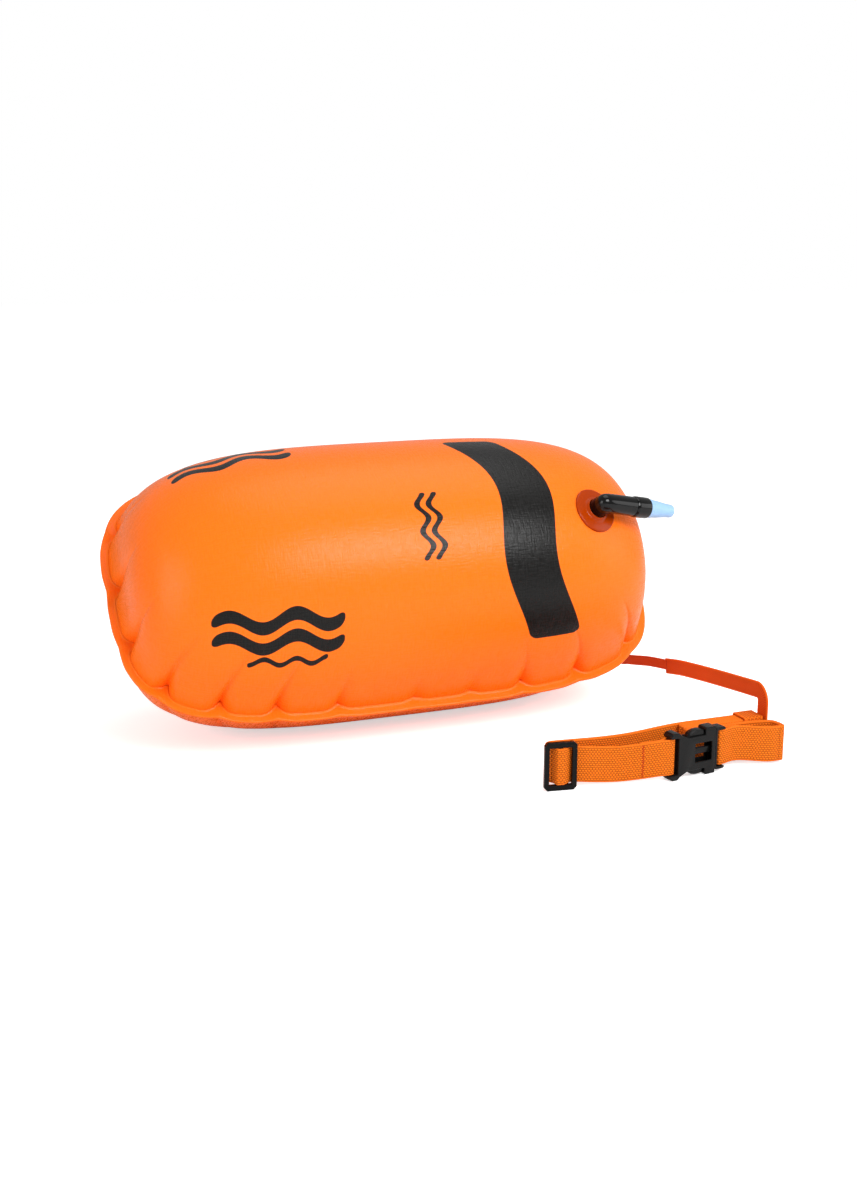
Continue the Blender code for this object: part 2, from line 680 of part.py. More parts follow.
def release_arm(name, side, black_material, place):
    """One flexing arm, with its origin on the hinge line at its root."""
    root_middle = WALL_INSIDE - GAP - LATCH_STEP / 2 - ARM_WIDTH / 2
    pivot = empty(name + "_hinge", Matrix.Translation((MALE_FACE, 0, side * root_middle)), place)
    half = ARM_WIDTH / 2
    outer = WALL_INSIDE - GAP - root_middle
    root = -GAP
    shoulder = LOBE_END - MALE_FACE
    tip = LOBE_START - MALE_FACE
    crown = HARDWARE_MIDDLE - root_middle
    outline = [(root, -half), (root, half), (shoulder, outer), (shoulder, outer + LATCH_STEP)]
    steps = 6
    for step in range(1, steps + 1):
        turn = math.pi / 2 * step / steps
        rise = outer + LATCH_STEP
        x = shoulder + (tip - shoulder) * math.sin(turn)
        z = -half + (rise + half) * math.cos(turn) + LOBE_BULGE * math.sin(2 * turn)
        outline.append((x, min(z, crown)))
    outline = [(x, side * z) for x, z in outline]
    arm = plate(name, outline, -ARM_THICKNESS / 2, ARM_THICKNESS / 2, black_material, pivot)
    return arm


def slide_adjuster(black_material):
    place = empty("glide_place", GLIDE_FRAME)
    half = GLIDE_LENGTH / 2
    edge = HARDWARE_MIDDLE
    chamfer = GLIDE_RAIL * 2 / 3
    outline = [(-half, edge - chamfer), (-half + chamfer, edge), (half - chamfer, edge),
               (half, edge - chamfer)]
    outline = outline + [(x, -z) for x, z in reversed(outline)]
    thick = GLIDE_THICKNESS / 2
    frame = plate("slide_adjuster", outline, -thick, thick, black_material, place)
    for index, side in enumerate((-1, 1)):
        near = side * GLIDE_BAR_WIDTH / 2
        far = side * (half - GLIDE_RAIL)
        window = block(f"glide_window_{index}", (min(near, far), -edge, -WEB_WINDOW),
                       (max(near, far), edge, WEB_WINDOW), black_material, place)
        cut(frame, window)
        near = side * GLIDE_BAR_THICKNESS / 2
        far = side * (thick + OVERRUN)
        pocket = block(f"glide_pocket_{index}", (-GLIDE_BAR_WIDTH, min(near, far), -WEB_WINDOW),
                       (GLIDE_BAR_WIDTH, max(near, far), WEB_WINDOW), black_material, place)
        cut(frame, pocket)


def buckle(black_material):
    place = empty("buckle_place", BUCKLE_FRAME)
    female_half(black_material, place)
    male_half(black_material, place)
    release_arm("release_arm_upper", 1, black_material, place)
    release_arm("release_arm_lower", -1, black_material, place)


# The webbing, standing on edge: a strip along a plan route, with its own lift above the floor

def webbing(name, route, offset, finish_material):
    """A strip along a route of (x, y, lift) points, moved sideways by an offset."""
    rings = []
    for spot, along in zip(route, directions([Vector((p.x, p.y, 0)) for p in route])):
        side = Vector((-along.y, along.x, 0))
        low = Vector((spot.x, spot.y, spot.z))
        near = low + side * (offset - WEB_THICKNESS / 2)
        far = low + side * (offset + WEB_THICKNESS / 2)
        rise = Z_AXIS * WEB_WIDTH
        rings.append([near, far, far + rise, near + rise])
    return loft(name, rings, finish_material)


def on_hardware(frame, points):
    """Points given beside a buckle or adjuster, as (x, y, lift) points of the plan."""
    placed_points = []
    for x, y in points:
        spot = frame @ Vector((x, y, 0))
        placed_points.append(Vector((spot.x, spot.y, HARDWARE_LIFT)))
    return placed_points


def fold(centre, radius, start, end, lift, steps=6):
    """An arc of the plan about a centre, from one heading angle to another, in degrees."""
    made = []
    for step in range(steps + 1):
        turn = math.radians(start + (end - start) * step / steps)
        made.append(Vector((centre[0] + radius * math.cos(turn),
                            centre[1] + radius * math.sin(turn), lift)))
    return made


LAYER_PITCH = 2 * WEB_THICKNESS + FOLD_GAP + GAP
BUNDLE_LIFT = GAP + TETHER_THICKNESS + GAP
HARDWARE_LIFT = HARDWARE_MIDDLE - WEB_WIDTH / 2
PAIR_HALF = PAIR_OFFSET + WEB_THICKNESS / 2
CORNER_REACH = GAP + WEB_THICKNESS / 2
SLEEVE_STEP = TETHER_THICKNESS + GAP
BUNDLE_LAYERS = 5
GLIDE_SIDE = GLIDE_LENGTH / 2 - GLIDE_RAIL
GLIDE_BACK = GLIDE_THICKNESS / 2 + CORNER_REACH
GLIDE_JOIN = GLIDE_LENGTH / 2 - GLIDE_RAIL / 2
FOLD_LEAD = 3 * GAP


def layer_places():
    """Where each folded layer lies, from the back; the last runs in front of the tether's sleeve."""
    places = [BUNDLE_BACK - LAYER_PITCH * layer for layer in range(BUNDLE_LAYERS)]
    places[-1] -= SLEEVE_STEP
    return places


def left_fold_centre():
    """The middle of the fold behind the adjuster's left window, in the adjuster's frame."""
    outer = PAIR_HALF + LEFT_FOLD_RADIUS
    return Vector((outer - GLIDE_SIDE, outer + GLIDE_THICKNESS / 2 + GAP, 0))


def left_join(back, offset):
    """A point before the left fold's start, in the adjuster's frame, moved sideways by an offset."""
    turn = math.radians(LEFT_FOLD_START)
    outward = Vector((math.cos(turn), math.sin(turn), 0))
    along = Vector((math.sin(turn), -math.cos(turn), 0))
    spot = left_fold_centre() + outward * (LEFT_FOLD_RADIUS + offset) - along * back
    return spot.x, spot.y


def bundle_route():
    """The doubled webbing's middle line: round the left fold, along the back and through the folds."""
    centre = GLIDE_FRAME @ left_fold_centre()
    start_angle = math.degrees(GLIDE_TURN) + LEFT_FOLD_START
    route = on_hardware(GLIDE_FRAME, [left_join(FOLD_LEAD, 0)])
    route += fold(centre, LEFT_FOLD_RADIUS, start_angle, -270, HARDWARE_LIFT, 8)
    layers = layer_places()
    right = BUNDLE_RIGHT
    left = BUNDLE_RIGHT - BUNDLE_LENGTH
    back_start = route[-1]
    middle_x = (back_start.x + left) / 2
    middle_y = back_start.y + (layers[0] - back_start.y) / 8
    inside_x = (left + right) / 2
    settle = [back_start,
              Vector((middle_x, middle_y, BUNDLE_LIFT)),
              Vector((left, layers[0] - PAIR_OFFSET / 4, BUNDLE_LIFT)),
              Vector((inside_x, layers[0], BUNDLE_LIFT)),
              Vector((right, layers[0], BUNDLE_LIFT))]
    route += smooth_route(settle, 5)[1:]
    for layer, (here, after) in enumerate(zip(layers, layers[1:])):
        radius = (here - after) / 2
        if layer % 2 == 0:
            route += fold((right, here - radius), radius, 90, -90, BUNDLE_LIFT)[1:]
            route.append(Vector((left, after, BUNDLE_LIFT)))
        else:
            route += fold((left, here - radius), radius, 90, 270, BUNDLE_LIFT)[1:]
            last = layer == len(layers) - 2
            stop = right - SLEEVE_LENGTH if last else right
            route.append(Vector((stop, after, BUNDLE_LIFT)))
    fold_radius = LAYER_PITCH / 2
    drop = RUN_END_Y + fold_radius - layers[-1]
    leave = [route[-1],
             Vector((right, layers[-1] - fold_radius, BUNDLE_LIFT)),
             Vector((RUN_END_X, layers[-1] + drop / 3, BUNDLE_LIFT)),
             Vector((RUN_END_X + fold_radius, layers[-1] + drop * 2 / 3, BUNDLE_LIFT))]
    route += smooth_route(leave, 5)[1:]
    route += fold((RUN_END_X, RUN_END_Y + fold_radius), fold_radius, 0, -90, BUNDLE_LIFT, 4)
    route.append(Vector((RUN_END_X - fold_radius, RUN_END_Y, BUNDLE_LIFT)))
    return route


def corner(x, y, angle):
    """A point of the webbing's middle line as it rounds an edge of the hardware."""
    return (x + CORNER_REACH * math.cos(math.radians(angle)),
            y + CORNER_REACH * math.sin(math.radians(angle)))


def round_bar(near, far, side):
    """The webbing's points round a bar's edge: front, round the end in the slot, and back."""
    half = BAR_THICKNESS / 2
    return [corner(far, -half, -90), corner(near, -half, -90), corner(near, -half, -90 + side * 45),
            corner(near, 0, -90 + side * 90), corner(near, half, 90 - side * 45),
            corner(near, half, 90), corner(far, half, 90)]


def front_run_route():
    """The single webbing: tail, round the female half's bar, and over the adjuster's bar."""
    close = FEMALE_START - 2 * BAR_WIDTH
    bar = on_hardware(BUCKLE_FRAME, round_bar(FEMALE_SLOT, FEMALE_START, 1))
    leave = on_hardware(BUCKLE_FRAME, [(close, -PAIR_OFFSET)])
    half_bar = GLIDE_BAR_WIDTH / 2
    right_side = [(GLIDE_JOIN, GLIDE_BACK), corner(GLIDE_SIDE, GLIDE_THICKNESS / 2, 90),
                  corner(GLIDE_SIDE, GLIDE_THICKNESS / 2, 135),
                  corner(half_bar, -GLIDE_BAR_THICKNESS / 2, -45),
                  corner(half_bar, -GLIDE_BAR_THICKNESS / 2, -90)]
    left_side = [corner(-half_bar, -GLIDE_BAR_THICKNESS / 2, -90),
                 corner(-half_bar, -GLIDE_BAR_THICKNESS / 2, -135),
                 left_join(2 * FOLD_LEAD + GAP, PAIR_OFFSET), left_join(FOLD_LEAD + GAP, PAIR_OFFSET)]
    over = on_hardware(GLIDE_FRAME, right_side + left_side)
    sag = (leave[0] + over[0]) / 2
    sag.z = SAG_LIFT
    quarter = (leave[0] + sag) / 2
    near = (over[0] + sag) / 2
    quarter.z = near.z = sag.z + (HARDWARE_LIFT - sag.z) / 3
    main = smooth_route(leave + [quarter, sag, near, over[0]], 4) + over[1:]
    tail = []
    for spot, along in zip(main, directions(main)):
        if (spot - main[0]).length < TAIL_LENGTH:
            tail.append(spot + Vector((along.y, -along.x, 0)).normalized() * 2 * PAIR_OFFSET)
    return list(reversed(tail)) + list(reversed(bar)) + main


def sewn_end_route():
    """The doubled part's end, stitched behind the adjuster's middle bar."""
    half_bar = GLIDE_BAR_WIDTH / 2
    behind = GLIDE_BAR_THICKNESS / 2 + CORNER_REACH
    points = [left_join(FOLD_LEAD + GAP, -PAIR_OFFSET), left_join(2 * FOLD_LEAD + GAP, -PAIR_OFFSET),
              (-half_bar, behind), (half_bar, behind)]
    return smooth_route(on_hardware(GLIDE_FRAME, points), 3)


def buckle_loop_route():
    """The doubled webbing's bight: in along the front, round the male half's bar, and back out."""
    join_x = RUN_END_X - LAYER_PITCH / 2 - GAP
    step_x = Vector((LAYER_PITCH, 0, 0))
    start = Vector((join_x, RUN_END_Y - PAIR_OFFSET, BUNDLE_LIFT))
    end = Vector((join_x, RUN_END_Y + PAIR_OFFSET, BUNDLE_LIFT))
    outside = MALE_END + 3 * BAR_WIDTH
    front, back = on_hardware(BUCKLE_FRAME, [(outside, -PAIR_OFFSET), (outside, PAIR_OFFSET)])
    bar = on_hardware(BUCKLE_FRAME, round_bar(MALE_BAR, MALE_END, -1))
    inward = smooth_route([start, start - step_x, front, bar[0]], 4)
    outward = smooth_route([bar[-1], back, end - step_x, end], 4)
    return inward[:-1] + bar + outward[1:]


def belt(web_material):
    pair = bundle_route()
    webbing("belt_back_run", pair, PAIR_OFFSET, web_material)
    webbing("belt_return_run", pair, -PAIR_OFFSET, web_material)
    webbing("belt_front_run", front_run_route(), 0, web_material)
    webbing("belt_sewn_end", sewn_end_route(), 0, web_material)
    webbing("belt_buckle_loop", buckle_loop_route(), 0, web_material)


# The tether: a narrow strap from the tab on the end seam, then a wide one down to the belt

NARROW_ROUTE = [
    (0.0285, 0.0950), (0.0330, 0.0640), (0.0350, 0.0360), (0.0310, 0.0180), (0.0220, 0.0128),
    (0.0120, 0.0150), (-0.0040, 0.0186), (-0.0230, 0.0229), (-0.0420, 0.0262), (-0.0560, 0.0284),
    (-0.0690, 0.0305)]


def strap(name, route, widths, width, finish_material):
    """A flat strap along a route, with the direction of its width at each point."""
    rings = []
    for spot, along, across in zip(route, directions(route), widths):
        across = (across - along * across.dot(along)).normalized()
        through = along.cross(across) * TETHER_THICKNESS / 2
        wide = across * width / 2
        rings.append([spot - wide - through, spot + wide - through,
                      spot + wide + through, spot - wide + through])
    return loft(name, rings, finish_material)


def seam_place():
    """The tab's place on the seam plane: X along the buoy, Y out of the plane and Z down it."""
    return frame_matrix(Z_AXIS * BODY_MIDDLE - SEAM_DOWN * TAB_UP_SEAM, X_AXIS, SEAM_DOWN)


TAB_START = BODY_HALF_LENGTH + FLANGE_WIDTH / 6
TAB_BASE = SEAM_TOP + GAP
TAB_TOP = TAB_BASE + TAB_THICKNESS
TAB_SLOT = TAB_START + TAB_LENGTH - TAB_SLOT_MARGIN - TAB_SLOT_WIDTH
STRAP_X = BODY_HALF_LENGTH + TETHER_BEHIND_END


def tether_tab(orange):
    place = empty("tab_place", seam_place())
    half = TAB_WIDTH / 2
    end = TAB_START + TAB_LENGTH
    chamfer = TAB_SLOT_MARGIN
    outline = [(TAB_START, -half), (end - chamfer, -half), (end, -half + chamfer),
               (end, half - chamfer), (end - chamfer, half), (TAB_START, half)]
    tab = plate("tether_tab", outline, TAB_BASE, TAB_TOP, orange, place)
    slot_half = NARROW_WIDTH / 2 + GAP
    slot = block("tab_slot", (TAB_SLOT, TAB_BASE - OVERRUN, -slot_half),
                 (TAB_SLOT + TAB_SLOT_WIDTH, TAB_TOP + OVERRUN, slot_half), orange, place)
    cut(tab, slot)


def tether(strap_material):
    place = seam_place()
    reach = 2 * GAP + TETHER_THICKNESS / 2
    above = TAB_TOP + reach
    through = TAB_SLOT + reach
    bend_share = math.sqrt(1 / 2)
    lead = [(TAB_START + NARROW_WIDTH / 2, above), (TAB_SLOT, above),
            (TAB_SLOT + reach * bend_share, TAB_TOP + reach * bend_share),
            (through, TAB_TOP), (through, TAB_BASE - TAB_THICKNESS),
            (through + TETHER_THICKNESS, TAB_BASE - NARROW_WIDTH)]
    lead = [place @ Vector((x, y, 0)) for x, y in lead]
    drop = [Vector((STRAP_X, y, z)) for y, z in NARROW_ROUTE]
    route = smooth_route(lead + drop, 4)
    widths = []
    for along in directions(route):
        edgewise = along.cross(X_AXIS)
        widths.append(SEAM_DOWN if along.x > abs(along.y) else edgewise)
    strap("tether_narrow", route, widths, NARROW_WIDTH, strap_material)

    layers = layer_places()
    foot_x = BUNDLE_RIGHT + LAYER_PITCH / 2 + PAIR_HALF + 2 * GAP + TETHER_THICKNESS / 2
    foot_y = (layers[0] + layers[-2]) / 2
    bend = WIDE_WIDTH / 2 + TETHER_THICKNESS
    bend_z = WIDE_TOP - bend
    start_x = STRAP_X - TETHER_THICKNESS - GAP
    start = Vector((start_x, WIDE_START_Y, WIDE_START_LIFT))
    corner_start = Vector((foot_x, foot_y + bend, WIDE_TOP))
    legs = 6
    points = []
    for step in range(legs + 1):
        share = step / legs
        spot = start.lerp(corner_start, share)
        spot.x = start.x + (corner_start.x - start.x) * share ** 2
        spot.z = start.z + (corner_start.z - start.z) * share ** WIDE_RISE_POWER
        points.append(spot)
    corner_points = []
    for step in range(1, legs + 1):
        turn = math.pi / 2 * step / legs
        corner_points.append(Vector((foot_x, foot_y + bend - bend * math.sin(turn),
                                     bend_z + bend * math.cos(turn))))
    foot = [Vector((foot_x, foot_y, bend_z - WIDE_WIDTH / 2)),
            Vector((foot_x, foot_y, BUNDLE_LIFT + WEB_WIDTH / 2))]
    route = smooth_route(points, 3) + corner_points + foot
    widths = [along.cross(X_AXIS) for along in directions(route)]
    strap("tether_wide", route, widths, WIDE_WIDTH, strap_material)

    low = layers[-2] - PAIR_HALF - GAP
    high = layers[0] + PAIR_HALF + GAP
    wall = TETHER_THICKNESS
    bottom = BUNDLE_LIFT - GAP
    top = BUNDLE_LIFT + WEB_WIDTH + GAP
    end = foot_x - TETHER_THICKNESS / 2 - GAP
    start = end - SLEEVE_LENGTH
    sleeve = block("tether_sleeve", (start, low - wall, bottom - wall), (end, high + wall, top + wall),
                   strap_material)
    inside = block("sleeve_inside", (start - OVERRUN, low, bottom), (end + OVERRUN, high, top),
                   strap_material)
    cut(sleeve, inside)


# Everything together

def build():
    clear_scene()
    orange = material("coated_cloth_front", (0.95, 0.25, 0.03), 0.45)
    orange_back = material("coated_cloth_back", (0.93, 0.24, 0.03), 0.45)
    disc = material("soft_disc", (0.45, 0.07, 0.01), 0.2)
    black = material("black_plastic", (0.02, 0.02, 0.02), 0.35)
    blue = material("pale_blue_plastic", (0.45, 0.72, 0.92), 0.3)
    steel = material("spring_steel", (0.6, 0.6, 0.6), 0.3)
    seal = material("seal_rubber", (0.05, 0.05, 0.05), 0.7)
    web = material("orange_webbing", (0.85, 0.2, 0.02), 0.8)
    tape = material("orange_tape", (0.75, 0.12, 0.01), 0.8)
    front = bladder(orange, orange_back)
    valve(disc, black, blue, steel, seal, front)
    buckle(black)
    slide_adjuster(black)
    belt(web)
    tether_tab(orange)
    tether(tape)


build()
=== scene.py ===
"""Open water swim buoy: an inflated orange bladder with a push valve, a tether and a folded belt."""
import math

import bmesh
import bpy
from mathutils import Matrix, Vector


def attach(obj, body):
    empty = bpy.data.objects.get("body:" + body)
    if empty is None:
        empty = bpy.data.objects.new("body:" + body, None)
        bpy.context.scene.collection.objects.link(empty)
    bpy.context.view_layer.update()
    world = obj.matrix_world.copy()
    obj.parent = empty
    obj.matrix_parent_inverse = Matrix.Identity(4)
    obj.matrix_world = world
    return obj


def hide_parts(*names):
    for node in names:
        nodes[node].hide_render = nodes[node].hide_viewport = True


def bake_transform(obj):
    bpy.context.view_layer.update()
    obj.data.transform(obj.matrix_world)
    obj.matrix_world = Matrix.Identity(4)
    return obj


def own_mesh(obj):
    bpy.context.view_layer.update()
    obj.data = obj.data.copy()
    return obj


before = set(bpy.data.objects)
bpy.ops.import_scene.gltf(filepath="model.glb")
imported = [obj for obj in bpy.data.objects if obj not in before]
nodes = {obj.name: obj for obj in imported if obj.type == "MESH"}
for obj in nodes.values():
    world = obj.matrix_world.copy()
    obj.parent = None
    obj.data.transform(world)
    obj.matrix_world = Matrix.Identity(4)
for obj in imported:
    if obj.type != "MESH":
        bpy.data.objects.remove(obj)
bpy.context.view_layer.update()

# Camera
# It stands in front of the buoy's left part and looks slightly down on it.

CAMERA_TURN = math.radians(-21.37)
CAMERA_RISE = math.radians(13.93)
CAMERA_DISTANCE = 1.15
LOOK_AT = Vector((0.0355, 0, 0.0835))

towards_camera = Vector((math.sin(CAMERA_TURN) * math.cos(CAMERA_RISE),
                         -math.cos(CAMERA_TURN) * math.cos(CAMERA_RISE), math.sin(CAMERA_RISE)))
camera_data = bpy.data.cameras.new("camera")
camera_data.sensor_fit = 'AUTO'
camera_data.sensor_width = 36
camera_data.lens = 45.77
camera = bpy.data.objects.new("camera", camera_data)
camera.location = LOOK_AT + towards_camera * CAMERA_DISTANCE
camera.rotation_euler = towards_camera.to_track_quat('Z', 'Y').to_euler()
bpy.context.collection.objects.link(camera)
bpy.context.scene.camera = camera
bpy.context.scene.view_settings.view_transform = 'Standard'

# Tether
# A narrow polyester tape runs from the tab on the bladder's end down behind it, and is sewn into a
# wider tape that holds the folded belt. Both are woven flat, with fine ribs across, cut and stitched.

TAPE_THICKNESS = 0.0013
NARROW_TAPE = 0.008
WIDE_TAPE = 0.012
SEAM_UP = Vector((0, -math.sqrt(0.5), math.sqrt(0.5)))
SEAM_DOWN = Vector((0, -math.sqrt(0.5), -math.sqrt(0.5)))
X_AXIS = Vector((1, 0, 0))
Z_AXIS = Vector((0, 0, 1))
BODY_MIDDLE = 0.10192
TAB_MIDDLE = Z_AXIS * BODY_MIDDLE - SEAM_DOWN * 0.028


def smooth_route(points, steps):
    """Points read from a smooth curve through a route's own points, however they are spaced."""
    points = [Vector(point) for point in points]
    legs = [(after - here).length for here, after in zip(points, points[1:])]
    headings = [(after - here) / leg for here, after, leg in zip(points, points[1:], legs)]
    speeds = [headings[0]]
    for index in range(1, len(legs)):
        before, after = legs[index - 1], legs[index]
        speeds.append((headings[index - 1] * after + headings[index] * before) / (before + after))
    speeds.append(headings[-1])
    route = []
    for index, leg in enumerate(legs):
        start, end = points[index], points[index + 1]
        for step in range(steps):
            share = step / steps
            blend = share * share * (3 - 2 * share)
            route.append(start.lerp(end, blend) + speeds[index] * (share * (1 - share) ** 2 * leg)
                         - speeds[index + 1] * (share ** 2 * (1 - share) * leg))
    route.append(points[-1])
    return route


def directions(route):
    """Unit directions along a route, one at each point."""
    return [(route[min(index + 1, len(route) - 1)] - route[max(index - 1, 0)]).normalized()
            for index in range(len(route))]


def strap_stands(route, widths):
    """The strap's stand at each point: X along it, Y across its face and Z through it."""
    stands = []
    for spot, along, across in zip(route, directions(route), widths):
        across = (across - along * across.dot(along)).normalized()
        turn = Matrix((along, across, along.cross(across))).transposed().to_4x4()
        stands.append(Matrix.Translation(spot) @ turn)
    return stands


def tape_edge(width, thickness, per_face=6):
    """A tape's cross section: flat faces with rounded selvages, as (across, through) points."""
    round_off = thickness * 0.45
    corner_middle = (width / 2 - round_off, thickness / 2 - round_off)
    outline = []
    for quarter in range(4):
        across_sign = 1 if quarter in (0, 3) else -1
        through_sign = 1 if quarter in (0, 1) else -1
        for step in range(3):
            turn = math.radians(90 * quarter + 45 * step)
            outline.append((across_sign * corner_middle[0] + round_off * math.cos(turn),
                            through_sign * corner_middle[1] + round_off * math.sin(turn)))
        if quarter in (0, 2):
            reach = across_sign * corner_middle[0]
            for step in range(1, per_face):
                outline.append((reach - 2 * reach * step / per_face, through_sign * thickness / 2))
    return outline


def drawn_strap(maker, stands, outline, closed=False):
    """Extrude a cross section through the stands, with a map of lengths along and across it."""
    places = maker.loops.layers.uv.verify()
    spread = {}
    first = [maker.verts.new(stands[0] @ Vector((0, across, through))) for across, through in outline]
    edges = [maker.edges.new((corner, after)) for corner, after in zip(first, first[1:] + first[:1])]
    for corner, (across, through) in zip(first, outline):
        spread[corner] = (0, across)
    ends = [list(edges)]
    travelled = 0
    for here, after in zip(stands, stands[1:]):
        grown = bmesh.ops.extrude_edge_only(maker, edges=edges)["geom"]
        corners = [item for item in grown if isinstance(item, bmesh.types.BMVert)]
        edges = [item for item in grown if isinstance(item, bmesh.types.BMEdge)]
        edges = [edge for edge in edges if edge.verts[0] in corners and edge.verts[1] in corners]
        bmesh.ops.transform(maker, matrix=after @ here.inverted(), verts=corners)
        travelled += (after.translation - here.translation).length
        back = after.inverted()
        for corner in corners:
            spread[corner] = (travelled, (back @ corner.co).y)
    ends.append(edges)
    if not closed:
        for end in ends:
            bmesh.ops.contextual_create(maker, geom=end)
    for corner, place in spread.items():
        for loop in corner.link_loops:
            loop[places].uv = place
    if closed:
        bmesh.ops.remove_doubles(maker, verts=maker.verts, dist=1e-5)


def finished(name, maker, coat, smooth_angle=50):
    """A bmesh as a named object at the origin, with outward faces and its material."""
    bmesh.ops.recalc_face_normals(maker, faces=maker.faces)
    mesh = bpy.data.meshes.new(name)
    maker.to_mesh(mesh)
    maker.free()
    mesh.materials.append(coat)
    mesh.shade_smooth()
    mesh.set_sharp_from_angle(angle=math.radians(smooth_angle))
    made = bpy.data.objects.new(name, mesh)
    bpy.context.collection.objects.link(made)
    return made


def woven_group():
    """Ribs and rows of a narrow woven tape, read from lengths along (X) and across (Y) it: a height for the
    bump, painted shade that darkens the hollows between ribs and rows with uneven tone on top, and the
    selvage band.
    """
    group = bpy.data.node_groups.new("woven_tape", 'ShaderNodeTree')
    group.interface.new_socket("Places", in_out='INPUT', socket_type='NodeSocketVector')
    for name, value in (("Rib length", 0.002), ("Row width", 0.0015), ("Half width", 0.0125)):
        group.interface.new_socket(name, in_out='INPUT', socket_type='NodeSocketFloat').default_value = value
    for name in ("Height", "Shade", "Selvage"):
        group.interface.new_socket(name, in_out='OUTPUT', socket_type='NodeSocketFloat')
    links = group.links
    start = group.nodes.new('NodeGroupInput')
    end = group.nodes.new('NodeGroupOutput')

    def sum_of(operation, *terms):
        node = group.nodes.new('ShaderNodeMath')
        node.operation = operation
        for socket, term in zip(node.inputs, terms):
            if isinstance(term, (int, float)):
                socket.default_value = term
            else:
                links.new(term, socket)
        return node.outputs[0]

    split = group.nodes.new('ShaderNodeSeparateXYZ')
    links.new(start.outputs["Places"], split.inputs[0])
    along, across = split.outputs[0], split.outputs[1]
    row = sum_of('ADD', sum_of('DIVIDE', across, start.outputs["Row width"]), 0.5)
    shifted = sum_of('MULTIPLY', sum_of('FLOORED_MODULO', sum_of('FLOOR', row), 2.0), 0.5)
    rib = sum_of('ADD', sum_of('DIVIDE', along, start.outputs["Rib length"]), shifted)
    rib_wave = sum_of('ABSOLUTE', sum_of('SINE', sum_of('MULTIPLY', rib, math.pi)))
    row_wave = sum_of('ABSOLUTE', sum_of('SINE', sum_of('MULTIPLY', row, math.pi)))
    height = sum_of('MULTIPLY', sum_of('POWER', rib_wave, 0.5), sum_of('POWER', row_wave, 0.5))
    uneven = group.nodes.new('ShaderNodeTexNoise')
    uneven.inputs["Scale"].default_value = 900
    uneven.inputs["Detail"].default_value = 3
    links.new(start.outputs["Places"], uneven.inputs["Vector"])
    links.new(sum_of('ADD', sum_of('MULTIPLY', height, 0.8),
                     sum_of('MULTIPLY', uneven.outputs[0], 0.35)), end.inputs["Height"])
    # Shade output: painted shade, darker in the hollows between ribs and rows, plus uneven random tone.
    links.new(sum_of('ADD', sum_of('MULTIPLY', height, 0.9),
                     sum_of('MULTIPLY', uneven.outputs[0], 0.25)), end.inputs["Shade"])
    edge = sum_of('SUBTRACT', start.outputs["Half width"], sum_of('ABSOLUTE', across))
    links.new(sum_of('LESS_THAN', edge, 0.0011), end.inputs["Selvage"])
    return group


WOVEN = woven_group()


def tacked(tree, places, dyed, half_width, tack):
    """A zigzag of redder thread across a tape, centred at a length along it."""
    def sum_of(operation, *terms):
        node = tree.nodes.new('ShaderNodeMath')
        node.operation = operation
        for socket, term in zip(node.inputs, terms):
            if isinstance(term, (int, float)):
                socket.default_value = term
            else:
                tree.links.new(term, socket)
        return node.outputs[0]

    split = tree.nodes.new('ShaderNodeSeparateXYZ')
    tree.links.new(places, split.inputs[0])
    zigzag = sum_of('MULTIPLY', sum_of('PINGPONG', sum_of('ABSOLUTE', split.outputs[1]), 0.0008), 1.6)
    from_line = sum_of('ABSOLUTE', sum_of('SUBTRACT', sum_of('SUBTRACT', split.outputs[0], tack), zigzag))
    on_line = sum_of('LESS_THAN', from_line, 0.0005)
    inside = sum_of('LESS_THAN', sum_of('ABSOLUTE', split.outputs[1]), half_width - 0.0012)
    thread = tree.nodes.new('ShaderNodeMix')
    thread.data_type = 'RGBA'
    thread.inputs[7].default_value = (0.42, 0.030, 0.002, 1)
    tree.links.new(sum_of('MULTIPLY', on_line, inside), thread.inputs[0])
    tree.links.new(dyed, thread.inputs[6])
    return thread.outputs[2]


def tape_material(name, painted_hollow_shade, light, selvage, rib_length, row_width, half_width, depth, tack=None):
    """Dyed woven tape: painted shade darkens it between its ribs, with a paler selvage, and a tacked row of
    stitches.
    """
    coat = bpy.data.materials.new(name)
    coat.use_nodes = True
    tree = coat.node_tree
    shader = tree.nodes["Principled BSDF"]
    shader.inputs["Roughness"].default_value = 0.75
    shader.inputs["Specular IOR Level"].default_value = 0.15
    places = tree.nodes.new('ShaderNodeUVMap')
    weave = tree.nodes.new('ShaderNodeGroup')
    weave.node_tree = WOVEN
    tree.links.new(places.outputs[0], weave.inputs["Places"])
    weave.inputs["Rib length"].default_value = rib_length
    weave.inputs["Row width"].default_value = row_width
    weave.inputs["Half width"].default_value = half_width
    tint = tree.nodes.new('ShaderNodeMix')
    tint.data_type = 'RGBA'
    # The first colour is painted shade in the hollows between the ribs; the weave's Shade output blends it
    # with the rib colour.
    tint.inputs[6].default_value = (*painted_hollow_shade, 1)
    tint.inputs[7].default_value = (*light, 1)
    tree.links.new(weave.outputs["Shade"], tint.inputs[0])
    border = tree.nodes.new('ShaderNodeMix')
    border.data_type = 'RGBA'
    border.inputs[7].default_value = (*selvage, 1)
    tree.links.new(weave.outputs["Selvage"], border.inputs[0])
    tree.links.new(tint.outputs[2], border.inputs[6])
    dyed = border.outputs[2]
    if tack:
        dyed = tacked(tree, places.outputs[0], dyed, half_width, tack)
    tree.links.new(dyed, shader.inputs["Base Color"])
    bump = tree.nodes.new('ShaderNodeBump')
    bump.inputs["Strength"].default_value = 0.9
    bump.inputs["Distance"].default_value = depth / 1000
    tree.links.new(weave.outputs["Height"], bump.inputs["Height"])
    tree.links.new(bump.outputs[0], shader.inputs["Normal"])
    return coat


